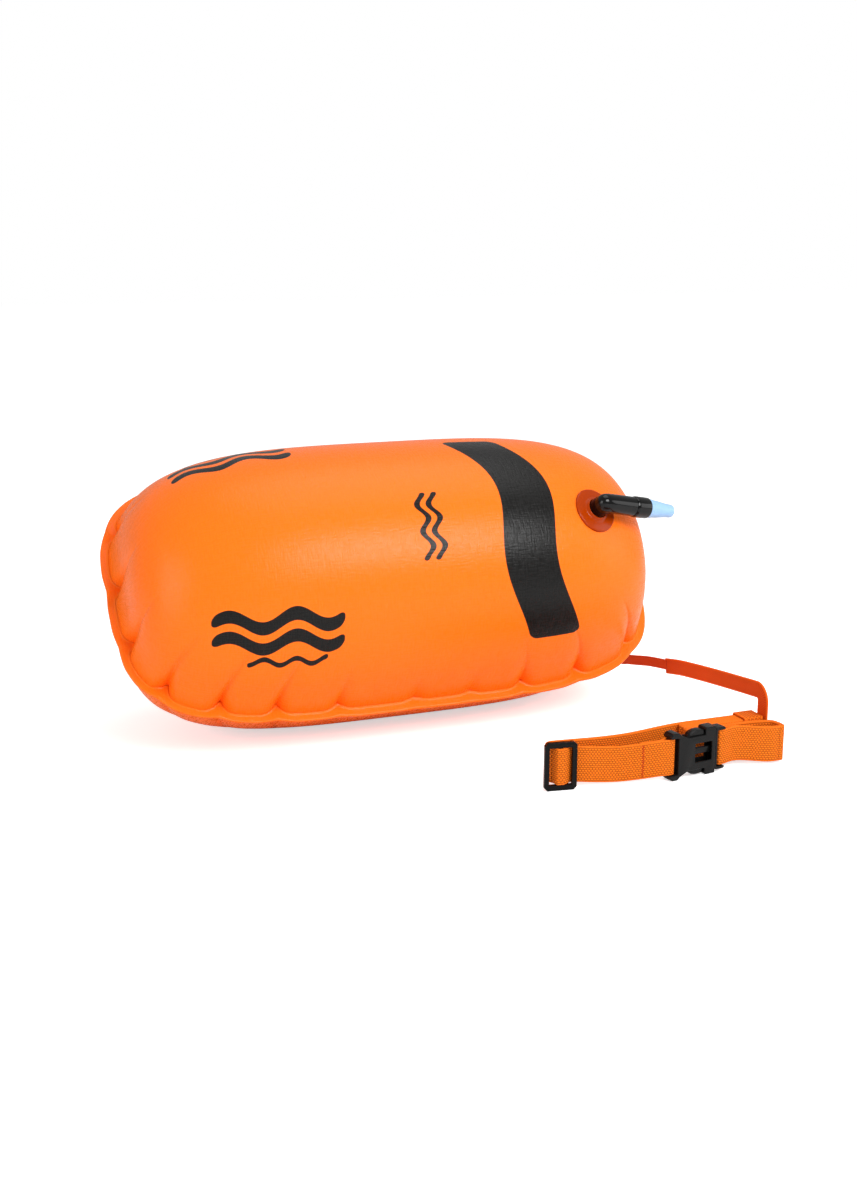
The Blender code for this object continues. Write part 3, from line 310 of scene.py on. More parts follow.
# The first colour is painted shade in the hollows between the tape's ribs.
tether_red = tape_material("tether_tape", (0.38, 0.025, 0.001), (0.70, 0.080, 0.003), (0.76, 0.11, 0.006),
                           0.0012, 0.0200, WIDE_TAPE / 2, 0.2, 0.0010)

tab_stand = Matrix((X_AXIS, SEAM_UP, SEAM_DOWN)).transposed().to_4x4()
tab_stand.translation = TAB_MIDDLE
lead = [tab_stand @ Vector((x, y, 0)) for x, y in (
    (0.1985, 0.0035), (0.2085, 0.0035), (0.20938, 0.00313), (0.20975, 0.00225),
    (0.20975, -0.00015), (0.21105, -0.00695))]
drop = [Vector((0.2135, y, z)) for y, z in (
    (0.0285, 0.0950), (0.0330, 0.0640), (0.0350, 0.0360), (0.0310, 0.0180), (0.0220, 0.0128),
    (0.0120, 0.0150), (-0.0040, 0.0186), (-0.0230, 0.0229), (-0.0420, 0.0262),
    (-0.0560, 0.0284), (-0.0690, 0.0305))]
narrow_route = smooth_route(lead + drop, 6)
narrow_widths = [SEAM_DOWN if along.x > abs(along.y) else along.cross(X_AXIS)
                 for along in directions(narrow_route)]

SLEEVE_RIGHT = 0.2057
FOOT_X = 0.2118
FOOT_Y = -0.18505
WIDE_TOP = 0.0446
CORNER_BEND = WIDE_TAPE / 2 + TAPE_THICKNESS
start = Vector((0.2119, -0.053, 0.0275))
corner_start = Vector((FOOT_X, FOOT_Y + CORNER_BEND, WIDE_TOP))
wide_points = []
for step in range(7):
    share = step / 6
    wide_points.append(Vector((start.x + (corner_start.x - start.x) * share ** 2,
                               start.y + (corner_start.y - start.y) * share,
                               start.z + (corner_start.z - start.z) * share ** 0.8)))
wide_route = smooth_route(wide_points, 8)
for step in range(1, 17):
    turn = math.pi / 2 * step / 16
    wide_route.append(Vector((FOOT_X, FOOT_Y + CORNER_BEND * (1 - math.sin(turn)),
                              WIDE_TOP - CORNER_BEND * (1 - math.cos(turn)))))
wide_route += [Vector((FOOT_X, FOOT_Y, height)) for height in (0.0300, 0.0250, 0.0200, 0.0144)]
wide_widths = [along.cross(X_AXIS) for along in directions(wide_route)]

maker = bmesh.new()
drawn_strap(maker, strap_stands(narrow_route, narrow_widths), tape_edge(NARROW_TAPE, TAPE_THICKNESS))
drawn_strap(maker, strap_stands(wide_route, wide_widths), tape_edge(WIDE_TAPE, TAPE_THICKNESS))
tether = finished("tether", maker, tether_red)
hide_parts("tether_narrow", "tether_wide")
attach(tether, "buoy")

# Floor, light and background
# A pale studio table that runs out to white, under a wide soft lamp, a side lamp and a white room.

FLOOR_REACH = 6
maker = bmesh.new()
bmesh.ops.create_grid(maker, x_segments=1, y_segments=1, size=FLOOR_REACH)
white = bpy.data.materials.new("white_table")
white.use_nodes = True
tree = white.node_tree
matt = tree.nodes["Principled BSDF"]
matt.inputs["Base Color"].default_value = (0.9, 0.9, 0.9, 1)
matt.inputs["Roughness"].default_value = 0.9
matt.inputs["Specular IOR Level"].default_value = 0
matt.inputs["Emission Color"].default_value = (1, 1, 1, 1)
rays = tree.nodes.new('ShaderNodeLightPath')
glow = tree.nodes.new('ShaderNodeMath')
glow.operation = 'MULTIPLY'
glow.inputs[1].default_value = 0.57
tree.links.new(rays.outputs["Is Camera Ray"], glow.inputs[0])
tree.links.new(glow.outputs[0], matt.inputs["Emission Strength"])
table_top = finished("table_top", maker, white)
table_top.data.transform(Matrix.Translation((0, 0, -0.0002)))


def lamp(name, place, aim, size, power, tall=None):
    """A soft rectangular lamp that faces a point."""
    data = bpy.data.lights.new(name, 'AREA')
    data.shape = 'RECTANGLE'
    data.size = size
    data.size_y = tall or size
    data.energy = power
    made = bpy.data.objects.new(name, data)
    made.location = place
    made.rotation_euler = (Vector(place) - Vector(aim)).to_track_quat('Z', 'Y').to_euler()
    bpy.context.collection.objects.link(made)


lamp("soft_front", (0.42, -1.20, 0.95), (0, 0, 0.1), 0.85, 16, 0.6)
lamp("soft_top", (0.35, 0.1, 1.7), (0, 0, 0.1), 1.2, 8)
lamp("soft_right", (1.6, -0.7, 0.5), (0.1, 0, 0.1), 0.8, 4)
lamp("soft_left", (-1.6, -0.5, 0.5), (-0.1, 0, 0.1), 0.9, 8)

room = bpy.data.worlds.new("white_room")
room.use_nodes = True
bpy.context.scene.world = room
tree = room.node_tree
background = tree.nodes["Background"]
background.inputs[0].default_value = (1, 1, 1, 1)
rays = tree.nodes.new('ShaderNodeLightPath')
seen = tree.nodes.new('ShaderNodeMath')
seen.operation = 'ADD'
seen.use_clamp = True
tree.links.new(rays.outputs["Is Camera Ray"], seen.inputs[0])
tree.links.new(rays.outputs["Is Transmission Ray"], seen.inputs[1])
level = tree.nodes.new('ShaderNodeMapRange')
level.inputs["To Min"].default_value = 0.48
level.inputs["To Max"].default_value = 1.0
tree.links.new(seen.outputs[0], level.inputs["Value"])
tree.links.new(level.outputs[0], background.inputs[1])

# Bladder
# Two sheets of coated orange cloth, cut flat and welded together along a flange round their edge.
# Blown up, the ends gather into creases that run in from the weld, with puffed lobes between them.

BODY_HALF_WIDTH = 0.0997
BODY_HALF_DEPTH = 0.1053
BODY_HALF_LENGTH = 0.1956
OUTLINE_POWER = 3.8
DEPTH_POWER = 3.33
SHEET_THICKNESS = 0.0006
SEAM_TOP = 0.00075
FLANGE_WIDTH = 0.009
INWARD = 62
COLUMNS = 24
CREASE_PLACES = [
    (0.1, 0.5), (1.05, 0.5), (1.93, 1.0), (3.1, 0.85), (4.16, 0.65), (5.1, 0.12), (6.09, 0.16),
    (7.39, 0.5), (8.4, 0.85), (9.31, 1.0), (10.22, 1.05), (11.19, 0.95), (12.23, 0.9), (13.3, 0.95),
    (14.3, 0.9), (15.3, 0.85), (16.35, 0.6), (17.4, 0.2), (18.5, 0.15), (19.5, 0.3), (20.5, 0.6),
    (21.5, 0.8), (22.4, 0.9), (23.2, 0.7)]


def half_width(x):
    shrink = max(0, 1 - abs(x / BODY_HALF_LENGTH) ** OUTLINE_POWER) ** (1 / OUTLINE_POWER)
    return BODY_HALF_WIDTH * shrink


def half_depth(x):
    shrink = max(0, 1 - abs(x / BODY_HALF_LENGTH) ** DEPTH_POWER) ** (1 / DEPTH_POWER)
    return BODY_HALF_DEPTH * shrink


def dome(x, p):
    """Height of a sheet above the seam plane, x along the buoy and p down the plane."""
    wide = half_width(x)
    if abs(p) >= wide:
        return SEAM_TOP
    return SEAM_TOP + half_depth(x) * math.sqrt(1 - (p / wide) ** 2)


def on_seam(x, p, q):
    """A point given along the buoy, down the seam plane and out of it, in the buoy's frame."""
    return X_AXIS * x + Z_AXIS * BODY_MIDDLE + SEAM_DOWN * p + SEAM_UP * q


def signed_power(value, power):
    return math.copysign(abs(value) ** power, value)


def seam_line(goals):
    """The weld's inner line at the goals, in whole lobes: its points, outward directions and length."""
    places = []
    for index in range(24001):
        turn = math.tau * index / 24000
        places.append(Vector((BODY_HALF_LENGTH * signed_power(math.cos(turn), 2 / OUTLINE_POWER),
                              BODY_HALF_WIDTH * signed_power(math.sin(turn), 2 / OUTLINE_POWER))))
    travelled = [0]
    for before, after in zip(places, places[1:]):
        travelled.append(travelled[-1] + (after - before).length)
    pitch = travelled[-1] / len(CREASE_PLACES)
    line = []
    outward = []
    index = 0
    for goal in goals:
        reach = goal * pitch % travelled[-1]
        if reach < travelled[index]:
            index = 0
        while travelled[index + 1] < reach:
            index += 1
        leg = places[index + 1] - places[index]
        line.append(places[index] + leg * ((reach - travelled[index]) / leg.length))
        ahead, behind = places[(index + 40) % 24000], places[(index - 40) % 24000]
        outward.append(Vector((ahead.y - behind.y, behind.x - ahead.x)).normalized())
    return line, outward, pitch


columns_at = []
for (place, strength), (after, strength_after) in zip(CREASE_PLACES, CREASE_PLACES[1:] + CREASE_PLACES[:1]):
    gap = (after - place) % len(CREASE_PLACES)
    for column in range(COLUMNS):
        share = column / COLUMNS
        share -= 0.78 * math.sin(math.tau * share) / math.tau
        columns_at.append((place + gap * share, gap * share, gap * (1 - share), strength, strength_after))
AROUND = len(columns_at)
seam, seam_outward, pitch = seam_line([column[0] for column in columns_at])


def crease_pull(step, inward):
    """How far the cloth is pulled in at a distance inward from the weld: in at a crease, out at a lobe."""
    _, behind, ahead, strength, strength_after = columns_at[step]
    pull = 0
    puff = 1
    for apart, deep in ((behind * pitch, strength), (ahead * pitch, strength_after)):
        run = 0.030 + 0.030 * deep
        fade = max(0, 1 - inward / run)
        line = math.exp(-(apart / 0.0016) ** 2) * fade ** 0.6
        dip = math.exp(-(apart / (0.0045 + 0.06 * inward)) ** 2) * fade
        pull += deep * (0.0019 * line + 0.0036 * dip)
        puff *= 1 - math.exp(-(apart / 0.0065) ** 2)
    full = 0.45 + 0.55 * (strength + strength_after) / 2
    return pull - 0.0034 * puff * full * max(0, 1 - inward / 0.022) ** 1.5


def bladder_sheet(name, side, coat):
    """One sheet with its half of the flange, on the side +1 (front) or -1 (back) of the weld."""
    maker = bmesh.new()
    bmesh.ops.create_uvsphere(maker, u_segments=AROUND, v_segments=2 * INWARD, radius=1)
    bmesh.ops.bisect_plane(maker, geom=maker.verts[:] + maker.edges[:] + maker.faces[:],
                           plane_co=(0, 0, 0), plane_no=(0, 0, 1), clear_inner=True, dist=1e-5)
    step_layer = maker.verts.layers.int.new("step")
    columns = [[None] * (INWARD + 1) for _ in range(AROUND)]
    pole = None
    for corner in maker.verts:
        reach = math.hypot(corner.co.x, corner.co.y)
        if reach < 1e-6:
            pole = corner
            continue
        step = round(math.atan2(corner.co.y, corner.co.x) / math.tau * AROUND) % AROUND
        ring = round(math.atan2(reach, corner.co.z) / (math.pi / 2) * INWARD)
        corner[step_layer] = step
        columns[step][ring] = corner
    pole.co = on_seam(0, 0, side * dome(0, 0))
    for step, column in enumerate(columns):
        for ring in range(1, INWARD + 1):
            share = 1 - (1 - ring / INWARD) ** 1.5
            spot = seam[step] * math.sin(math.pi / 2 * share)
            height = dome(spot.x, spot.y) if ring < INWARD else SEAM_TOP
            column[ring].co = on_seam(spot.x, spot.y, side * height)
    bmesh.ops.recalc_face_normals(maker, faces=maker.faces)
    maker.normal_update()
    if pole.normal.dot(SEAM_UP) * side < 0:
        bmesh.ops.reverse_faces(maker, faces=maker.faces)
        maker.normal_update()
    moves = []
    for step, column in enumerate(columns):
        outward = SEAM_DOWN * seam_outward[step].y + X_AXIS * seam_outward[step].x
        inward = 0
        for ring in range(INWARD, 0, -1):
            corner = column[ring]
            if ring < INWARD:
                inward += (corner.co - column[ring + 1].co).length
            pull = crease_pull(step, inward)
            if pull:
                way = outward if ring == INWARD else corner.normal
                moves.append((corner, -way * pull))
    for corner, move in moves:
        corner.co += move
    edges = [edge for edge in maker.edges if edge.is_boundary]
    for reach in (0.0004, 0.0009, 0.0014, 0.0028, 0.0050, 0.0072, FLANGE_WIDTH):
        grown = bmesh.ops.extrude_edge_only(maker, edges=edges)["geom"]
        corners = [item for item in grown if isinstance(item, bmesh.types.BMVert)]
        edges = [item for item in grown if isinstance(item, bmesh.types.BMEdge)
                 and item.verts[0][step_layer] != item.verts[1][step_layer]]
        for corner in corners:
            step = corner[step_layer]
            _, behind, ahead, strength, strength_after = columns_at[step]
            apart = min(behind, ahead) * pitch
            if ahead < behind:
                strength = strength_after
            pulled = crease_pull(step, 0)
            share = reach / FLANGE_WIDTH
            outer = FLANGE_WIDTH - strength * 0.0012 * max(0, 1 - apart / 0.014)
            spot = seam[step] + seam_outward[step] * ((1 - share) * -pulled + share * outer)
            facet = strength * 0.0016 * share * max(0, 1 - apart / 0.011)
            bead = 0.0005 if reach in (0.0004, 0.0009) else 0
            corner.co = on_seam(spot.x, spot.y, side * (SEAM_TOP + bead) + facet)
    places = maker.loops.layers.uv.verify()
    for face in maker.faces:
        for loop in face.loops:
            spot = loop.vert.co - Z_AXIS * BODY_MIDDLE
            down, up = spot.dot(SEAM_DOWN), spot.dot(SEAM_UP) * side
            past_weld = math.copysign(max(0, abs(down) - half_width(spot.x)), down)
            around = math.atan2(max(up, 0), down) * BODY_HALF_DEPTH
            loop[places].uv = (spot.x, around - past_weld)
    for corner in maker.verts:
        corner.co.z = max(0.00005, corner.co.z)
    mesh = bpy.data.meshes.new(name)
    maker.to_mesh(mesh)
    maker.free()
    mesh.materials.append(coat)
    mesh.shade_smooth()
    made = bpy.data.objects.new(name, mesh)
    bpy.context.collection.objects.link(made)
    wall = made.modifiers.new("wall", 'SOLIDIFY')
    wall.thickness = SHEET_THICKNESS
    wall.offset = -1
    return made


def coated_cloth(name, printed, relief):
    """Satin orange coated cloth: a faint weave shows in its sheen, and prints are black ink on it."""
    coat = bpy.data.materials.new(name)
    coat.use_nodes = True
    tree = coat.node_tree
    shader = tree.nodes["Principled BSDF"]
    shader.inputs["Specular IOR Level"].default_value = 0.17
    places = tree.nodes.new('ShaderNodeUVMap')
    if printed:
        tint = tree.nodes.new('ShaderNodeMix')
        tint.data_type = 'RGBA'
        tint.inputs[6].default_value = (1.0, 0.168, 0.007, 1)
        tint.inputs[7].default_value = (0.008, 0.0075, 0.007, 1)
        tree.links.new(print_mask(tree, places.outputs[0]), tint.inputs[0])
        tree.links.new(tint.outputs[2], shader.inputs["Base Color"])
    else:
        shader.inputs["Base Color"].default_value = (1.0, 0.168, 0.007, 1)
    threads = []
    for scale in ((800, 130, 1), (130, 800, 1)):
        spread = tree.nodes.new('ShaderNodeMapping')
        spread.inputs["Scale"].default_value = scale
        tree.links.new(places.outputs[0], spread.inputs["Vector"])
        thread = tree.nodes.new('ShaderNodeTexNoise')
        thread.inputs["Scale"].default_value = 1
        thread.inputs["Detail"].default_value = 2
        tree.links.new(spread.outputs[0], thread.inputs["Vector"])
        threads.append(thread.outputs[0])
    weave = tree.nodes.new('ShaderNodeMath')
    weave.operation = 'ADD'
    tree.links.new(threads[0], weave.inputs[0])
    tree.links.new(threads[1], weave.inputs[1])
    bump = tree.nodes.new('ShaderNodeBump')
    bump.inputs["Strength"].default_value = relief
    bump.inputs["Distance"].default_value = 0.0003
    tree.links.new(weave.outputs[0], bump.inputs["Height"])
    tree.links.new(bump.outputs[0], shader.inputs["Normal"])
    gloss = tree.nodes.new('ShaderNodeMapRange')
    gloss.inputs["From Min"].default_value = 0.7
    gloss.inputs["From Max"].default_value = 1.3
    gloss.inputs["To Min"].default_value = 0.18
    gloss.inputs["To Max"].default_value = 0.38
    tree.links.new(weave.outputs[0], gloss.inputs["Value"])
    tree.links.new(gloss.outputs[0], shader.inputs["Roughness"])
    return coat


def print_mask(tree, places):
    """Where the ink is: one gently waving band round the barrel and plain wave marks beside it."""
    def sum_of(operation, *terms):
        node = tree.nodes.new('ShaderNodeMath')
        node.operation = operation
        for socket, term in zip(node.inputs, terms):
            if isinstance(term, (int, float)):
                socket.default_value = term
            else:
                tree.links.new(term, socket)
        return node.outputs[0]

    split = tree.nodes.new('ShaderNodeSeparateXYZ')
    tree.links.new(places, split.inputs[0])
    along, around = split.outputs[0], split.outputs[1]

    def wave_bar(run, side, run_middle, run_half, side_middle, side_half, swing, wave, lean, rounding):
        """Ink within a rounded bar whose middle line waves to either side as it runs."""
        from_middle = sum_of('SUBTRACT', run, run_middle)
        sway = sum_of('MULTIPLY', sum_of('SINE', sum_of('MULTIPLY', from_middle, math.tau / wave)), swing)
        leaning = sum_of('ADD', sway, sum_of('MULTIPLY', from_middle, lean))
        off_line = sum_of('SUBTRACT', sum_of('SUBTRACT', side, side_middle), leaning)
        past_end = sum_of('MAXIMUM', sum_of('SUBTRACT', sum_of('ABSOLUTE', from_middle),
                                            run_half - rounding), 0.0)
        past_side = sum_of('MAXIMUM', sum_of('SUBTRACT', sum_of('ABSOLUTE', off_line),
                                             side_half - rounding), 0.0)
        away = sum_of('SQRT', sum_of('ADD', sum_of('MULTIPLY', past_end, past_end),
                                     sum_of('MULTIPLY', past_side, past_side)))
        edge = tree.nodes.new('ShaderNodeMapRange')
        edge.inputs["From Min"].default_value = rounding + 0.00015
        edge.inputs["From Max"].default_value = rounding - 0.00015
        tree.links.new(away, edge.inputs["Value"])
        return edge.outputs[0]

    marks = [
        wave_bar(around, along, 0.1425, 0.0900, 0.0770, 0.0205, 0.0065, 0.130, -0.14, 0.006),
        wave_bar(along, around, -0.1080, 0.0440, 0.0860, 0.0050, 0.0050, 0.0440, 0, 0.0045),
        wave_bar(along, around, -0.1080, 0.0440, 0.0700, 0.0050, 0.0050, 0.0440, 0, 0.0045),
        wave_bar(along, around, -0.1020, 0.0270, 0.0540, 0.0022, 0.0026, 0.0216, 0, 0.0018),
        wave_bar(along, around, -0.1170, 0.0420, 0.2300, 0.0050, 0.0050, 0.0420, 0, 0.0045),
        wave_bar(along, around, -0.1170, 0.0420, 0.2460, 0.0050, 0.0050, 0.0420, 0, 0.0045),
        wave_bar(along, around, -0.1200, 0.0260, 0.2600, 0.0020, 0.0026, 0.0208, 0, 0.0018),
        wave_bar(around, along, 0.1440, 0.0250, -0.0010, 0.0022, 0.0030, 0.0200, 0, 0.0020),
        wave_bar(around, along, 0.1440, 0.0250, 0.0075, 0.0022, 0.0030, 0.0200, 0, 0.0020)]
    ink = marks[0]
    for mark in marks[1:]:
        ink = sum_of('MAXIMUM', ink, mark)
    return ink


front_cloth = coated_cloth("coated_cloth_front", True, 0.65)
back_cloth = coated_cloth("coated_cloth_back", False, 0.12)
bladder_front = bladder_sheet("bladder_front", 1, front_cloth)
bladder_back = bladder_sheet("bladder_back", -1, back_cloth)
for bladder, node in ((bladder_front, "front_sheet"), (bladder_back, "back_sheet")):
    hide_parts(node)
    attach(bladder, "buoy")

# Valve
# A soft moulded disc welded on the front sheet holds a glossy bent tube. A pale blue mouthpiece
# presses into a ring on the tube's end: pushed in it opens the sprung poppet, and the ring locks it.

VALVE_ALONG = 0.134
VALVE_ACROSS = 0.0142
DISC_RADIUS = 0.017
TUBE_RADIUS = 0.0071
TUBE_RISE = 0.0115
TUBE_REACH = 0.0255
BEND_RADIUS = 0.0082
BEND_POWER = 5
RING_RADIUS = 0.0077
RING_START = 0.0258
RING_END = 0.0389
RING_SLOT_START = 0.0279
RING_SLOT_END = 0.0327
RING_SLOT_WIDTH = 0.0016
RING_SLOT_DEPTH = 0.0012
MOUTH_LENGTH = 0.0245
SPRING_START = 0.0102
SPRING_LENGTH = 0.0066
SPRING_RADIUS = 0.00336
SPRING_WIRE_RADIUS = 0.00028
SPRING_TURNS = 5


def stand_at(origin, x_direction, z_direction):
    z_direction = z_direction.normalized()
    y_direction = z_direction.cross(x_direction).normalized()
    x_direction = y_direction.cross(z_direction).normalized()
    columns = Matrix((x_direction, y_direction, z_direction)).transposed().to_4x4()
    return Matrix.Translation(origin) @ columns


quarter = DISC_RADIUS / 4
disc_middle = on_seam(VALVE_ALONG, VALVE_ACROSS, dome(VALVE_ALONG, VALVE_ACROSS))
ahead = on_seam(VALVE_ALONG + quarter, VALVE_ACROSS, dome(VALVE_ALONG + quarter, VALVE_ACROSS))
behind = on_seam(VALVE_ALONG - quarter, VALVE_ACROSS, dome(VALVE_ALONG - quarter, VALVE_ACROSS))
below = on_seam(VALVE_ALONG, VALVE_ACROSS + quarter, dome(VALVE_ALONG, VALVE_ACROSS + quarter))
above = on_seam(VALVE_ALONG, VALVE_ACROSS - quarter, dome(VALVE_ALONG, VALVE_ACROSS - quarter))
outward = (ahead - behind).cross(above - below)
if outward.dot(disc_middle - Z_AXIS * BODY_MIDDLE) < 0:
    outward = -outward
valve_stand = stand_at(disc_middle, ahead - behind, outward)
tube_stand = valve_stand @ stand_at(Vector((0, 0, TUBE_RISE)), -Z_AXIS, X_AXIS)


def turned(name, profile, stand, coat, steps=72, closed=True):
    """A profile of (radius, height) points spun about a stand's Z axis."""
    maker = bmesh.new()
    corners = [maker.verts.new((radius, 0, height)) for radius, height in profile]
    pairs = list(zip(corners, corners[1:]))
    if closed:
        pairs.append((corners[-1], corners[0]))
    sides = [maker.edges.new(pair) for pair in pairs]
    bmesh.ops.spin(maker, geom=corners + sides, cent=(0, 0, 0), axis=Z_AXIS, dvec=(0, 0, 0),
                   angle=math.tau, steps=steps, use_merge=True, use_duplicate=False)
    bmesh.ops.remove_doubles(maker, verts=maker.verts, dist=1e-5)
    bmesh.ops.transform(maker, matrix=stand, verts=maker.verts)
    return finished(name, maker, coat)


def surface_drop(origin, direction, reach):
    """How far below a point, along a direction, the front sheet lies."""
    low, high = 0, reach
    for _ in range(24):
        middle = (low + high) / 2
        spot = origin + direction * middle - Z_AXIS * BODY_MIDDLE
        outside = spot.dot(SEAM_UP) > dome(spot.x, spot.dot(SEAM_DOWN))
        low, high = (middle, high) if outside else (low, middle)
    return low


def plastic(name, colour, roughness, specular=0.5, coat_weight=0.0, grain=0.0, grain_scale=900.0,
            see_through=0.0):
    """Moulded plastic: an even colour, a fine moulded grain and a slightly uneven gloss."""
    made = bpy.data.materials.new(name)
    made.use_nodes = True
    tree = made.node_tree
    shader = tree.nodes["Principled BSDF"]
    shader.inputs["Specular IOR Level"].default_value = specular
    shader.inputs["Coat Weight"].default_value = coat_weight
    shader.inputs["Transmission Weight"].default_value = see_through
    places = tree.nodes.new('ShaderNodeTexCoord')
    speck = tree.nodes.new('ShaderNodeTexNoise')
    speck.inputs["Scale"].default_value = grain_scale
    speck.inputs["Detail"].default_value = 3
    tree.links.new(places.outputs["Object"], speck.inputs["Vector"])
    tint = tree.nodes.new('ShaderNodeMix')
    tint.data_type = 'RGBA'
    tint.inputs[6].default_value = (*[channel * 0.9 for channel in colour], 1)
    tint.inputs[7].default_value = (*[min(1, channel * 1.1) for channel in colour], 1)
    tree.links.new(speck.outputs[0], tint.inputs[0])
    tree.links.new(tint.outputs[2], shader.inputs["Base Color"])
    gloss = tree.nodes.new('ShaderNodeMapRange')
    gloss.inputs["To Min"].default_value = roughness * 0.85
    gloss.inputs["To Max"].default_value = roughness * 1.15
    tree.links.new(speck.outputs[0], gloss.inputs["Value"])
    tree.links.new(gloss.outputs[0], shader.inputs["Roughness"])
    if grain:
        bump = tree.nodes.new('ShaderNodeBump')
        bump.inputs["Strength"].default_value = 0.5
        bump.inputs["Distance"].default_value = grain
        tree.links.new(speck.outputs[0], bump.inputs["Height"])
        tree.links.new(bump.outputs[0], shader.inputs["Normal"])
    return made


disc_brown = plastic("soft_disc", (0.36, 0.035, 0.0002), 0.16, 0.13)
tube_black = plastic("black_tube", (0.0015, 0.0015, 0.0015), 0.07, 0.3)
mouth_blue = plastic("pale_blue_plastic", (0.31, 0.51, 0.80), 0.3, 0.3)
seal_black = plastic("seal_rubber", (0.03, 0.03, 0.03), 0.7, 0.3)
spring_steel = plastic("spring_steel", (0.6, 0.6, 0.6), 0.3)
spring_steel.node_tree.nodes["Principled BSDF"].inputs["Metallic"].default_value = 1.0

collar = TUBE_RADIUS + 0.0014
disc = turned("valve_disc", [
    (0.0043, 0.0015), (0.0043, -0.003), (0.0056, -0.003), (0.0056, 0.0003), (collar, 0.0003),
    (0.0105, 0.0003), (0.0127, 0.0003), (0.0149, 0.0003), (0.0165, 0.0003), (DISC_RADIUS, 0.0003),
    (DISC_RADIUS, 0.0008), (0.01685, 0.0012), (0.0165, 0.00142), (0.0160, 0.0015), (0.0149, 0.0013),
    (0.0138, 0.0013), (0.0127, 0.0013), (0.0116, 0.0013), (0.0105, 0.0013), (0.0095, 0.0014),
    (0.0090, 0.0018), (collar, 0.0025), (collar - 0.0003, 0.0030), (collar - 0.0007, 0.0031),
    (TUBE_RADIUS + 0.0003, 0.0030), (TUBE_RADIUS + 0.0003, 0.0015)], Matrix.Identity(4), disc_brown)
inward = -(valve_stand.to_3x3() @ Z_AXIS)
for corner in disc.data.vertices:
    radius = math.hypot(corner.co.x, corner.co.y)
    share = max(0, min(1, (radius - collar) / (DISC_RADIUS - collar)))
    sag = surface_drop(valve_stand @ Vector((corner.co.x, corner.co.y, 0)), inward, DISC_RADIUS)
    corner.co.z -= sag * share
disc.data.transform(valve_stand)
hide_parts("valve_flange")
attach(disc, "buoy")

tube_stands = [valve_stand @ Matrix.Translation((0, 0, height)) for height in (0.0018, 0.0024)]
for step in range(33):
    turn = math.pi / 2 * step / 32
    spot = Vector((BEND_RADIUS * (1 - math.cos(turn)), 0,
                   TUBE_RISE - BEND_RADIUS + BEND_RADIUS * math.sin(turn)))
    corner = (math.cos(turn) ** BEND_POWER + math.sin(turn) ** BEND_POWER) ** (-1 / BEND_POWER)
    tube_stands.append(valve_stand @ Matrix.Translation(spot) @ Matrix.Rotation(turn, 4, 'Y')
                       @ Matrix.Translation((BEND_RADIUS * (1 - corner), 0, 0))
                       @ Matrix.Scale(corner, 4, X_AXIS))
for reach in (0.012, 0.018, 0.0247, 0.0253, TUBE_REACH):
    tube_stands.append(valve_stand @ Matrix.Translation((reach, 0, TUBE_RISE))
                       @ Matrix.Rotation(math.pi / 2, 4, 'Y'))
maker = bmesh.new()
bmesh.ops.create_circle(maker, segments=64, radius=TUBE_RADIUS, cap_ends=False)
bmesh.ops.transform(maker, matrix=tube_stands[0], verts=maker.verts)
edges = maker.edges[:]
for index, (here, after) in enumerate(zip(tube_stands, tube_stands[1:])):
    grown = bmesh.ops.extrude_edge_only(maker, edges=edges)["geom"]
    corners = [item for item in grown if isinstance(item, bmesh.types.BMVert)]
    edges = [item for item in grown if isinstance(item, bmesh.types.BMEdge)
             and item.verts[0] in corners and item.verts[1] in corners]
    shrink = 0.955 if index == len(tube_stands) - 2 else 1
    bmesh.ops.transform(maker, matrix=after @ Matrix.Scale(shrink, 4) @ here.inverted(), verts=corners)
elbow = finished("bent_tube", maker, tube_black)
wall = elbow.modifiers.new("wall", 'SOLIDIFY')
wall.thickness = 0.0014
wall.offset = -1
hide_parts("valve_elbow")
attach(elbow, "buoy")

lock_ring = turned("locking_ring", [
    (0.0056, RING_START), (0.0071, RING_START), (0.00735, RING_START + 0.0004), (RING_RADIUS, 0.0276),
    (RING_RADIUS, RING_SLOT_START), (RING_RADIUS, RING_SLOT_END),
    (RING_RADIUS, 0.0380), (0.00762, 0.0386), (0.00742, RING_END), (0.0072, RING_END),
    (0.0072, 0.0350), (0.0056, 0.0350)], tube_stand, tube_black)
maker = bmesh.new()
maker.from_mesh(lock_ring.data)
to_tube = tube_stand.inverted()
slot_faces = []
for face in maker.faces:
    middle = to_tube @ face.calc_center_median()
    if (RING_SLOT_START < middle.z < RING_SLOT_END and middle.x > RING_RADIUS - RING_SLOT_DEPTH / 2
            and abs(middle.y) < RING_SLOT_WIDTH / 2):
        slot_faces.append(face)
grown = bmesh.ops.extrude_face_region(maker, geom=slot_faces)["geom"]
bmesh.ops.translate(maker, vec=tube_stand.to_3x3() @ X_AXIS * -RING_SLOT_DEPTH,
                    verts=[item for item in grown if isinstance(item, bmesh.types.BMVert)])
bmesh.ops.delete(maker, geom=slot_faces, context='FACES')
bmesh.ops.recalc_face_normals(maker, faces=maker.faces)
maker.to_mesh(lock_ring.data)
maker.free()
lock_ring.data.shade_smooth()
lock_ring.data.set_sharp_from_angle(angle=math.radians(50))
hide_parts("lock_ring")
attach(lock_ring, "ring")

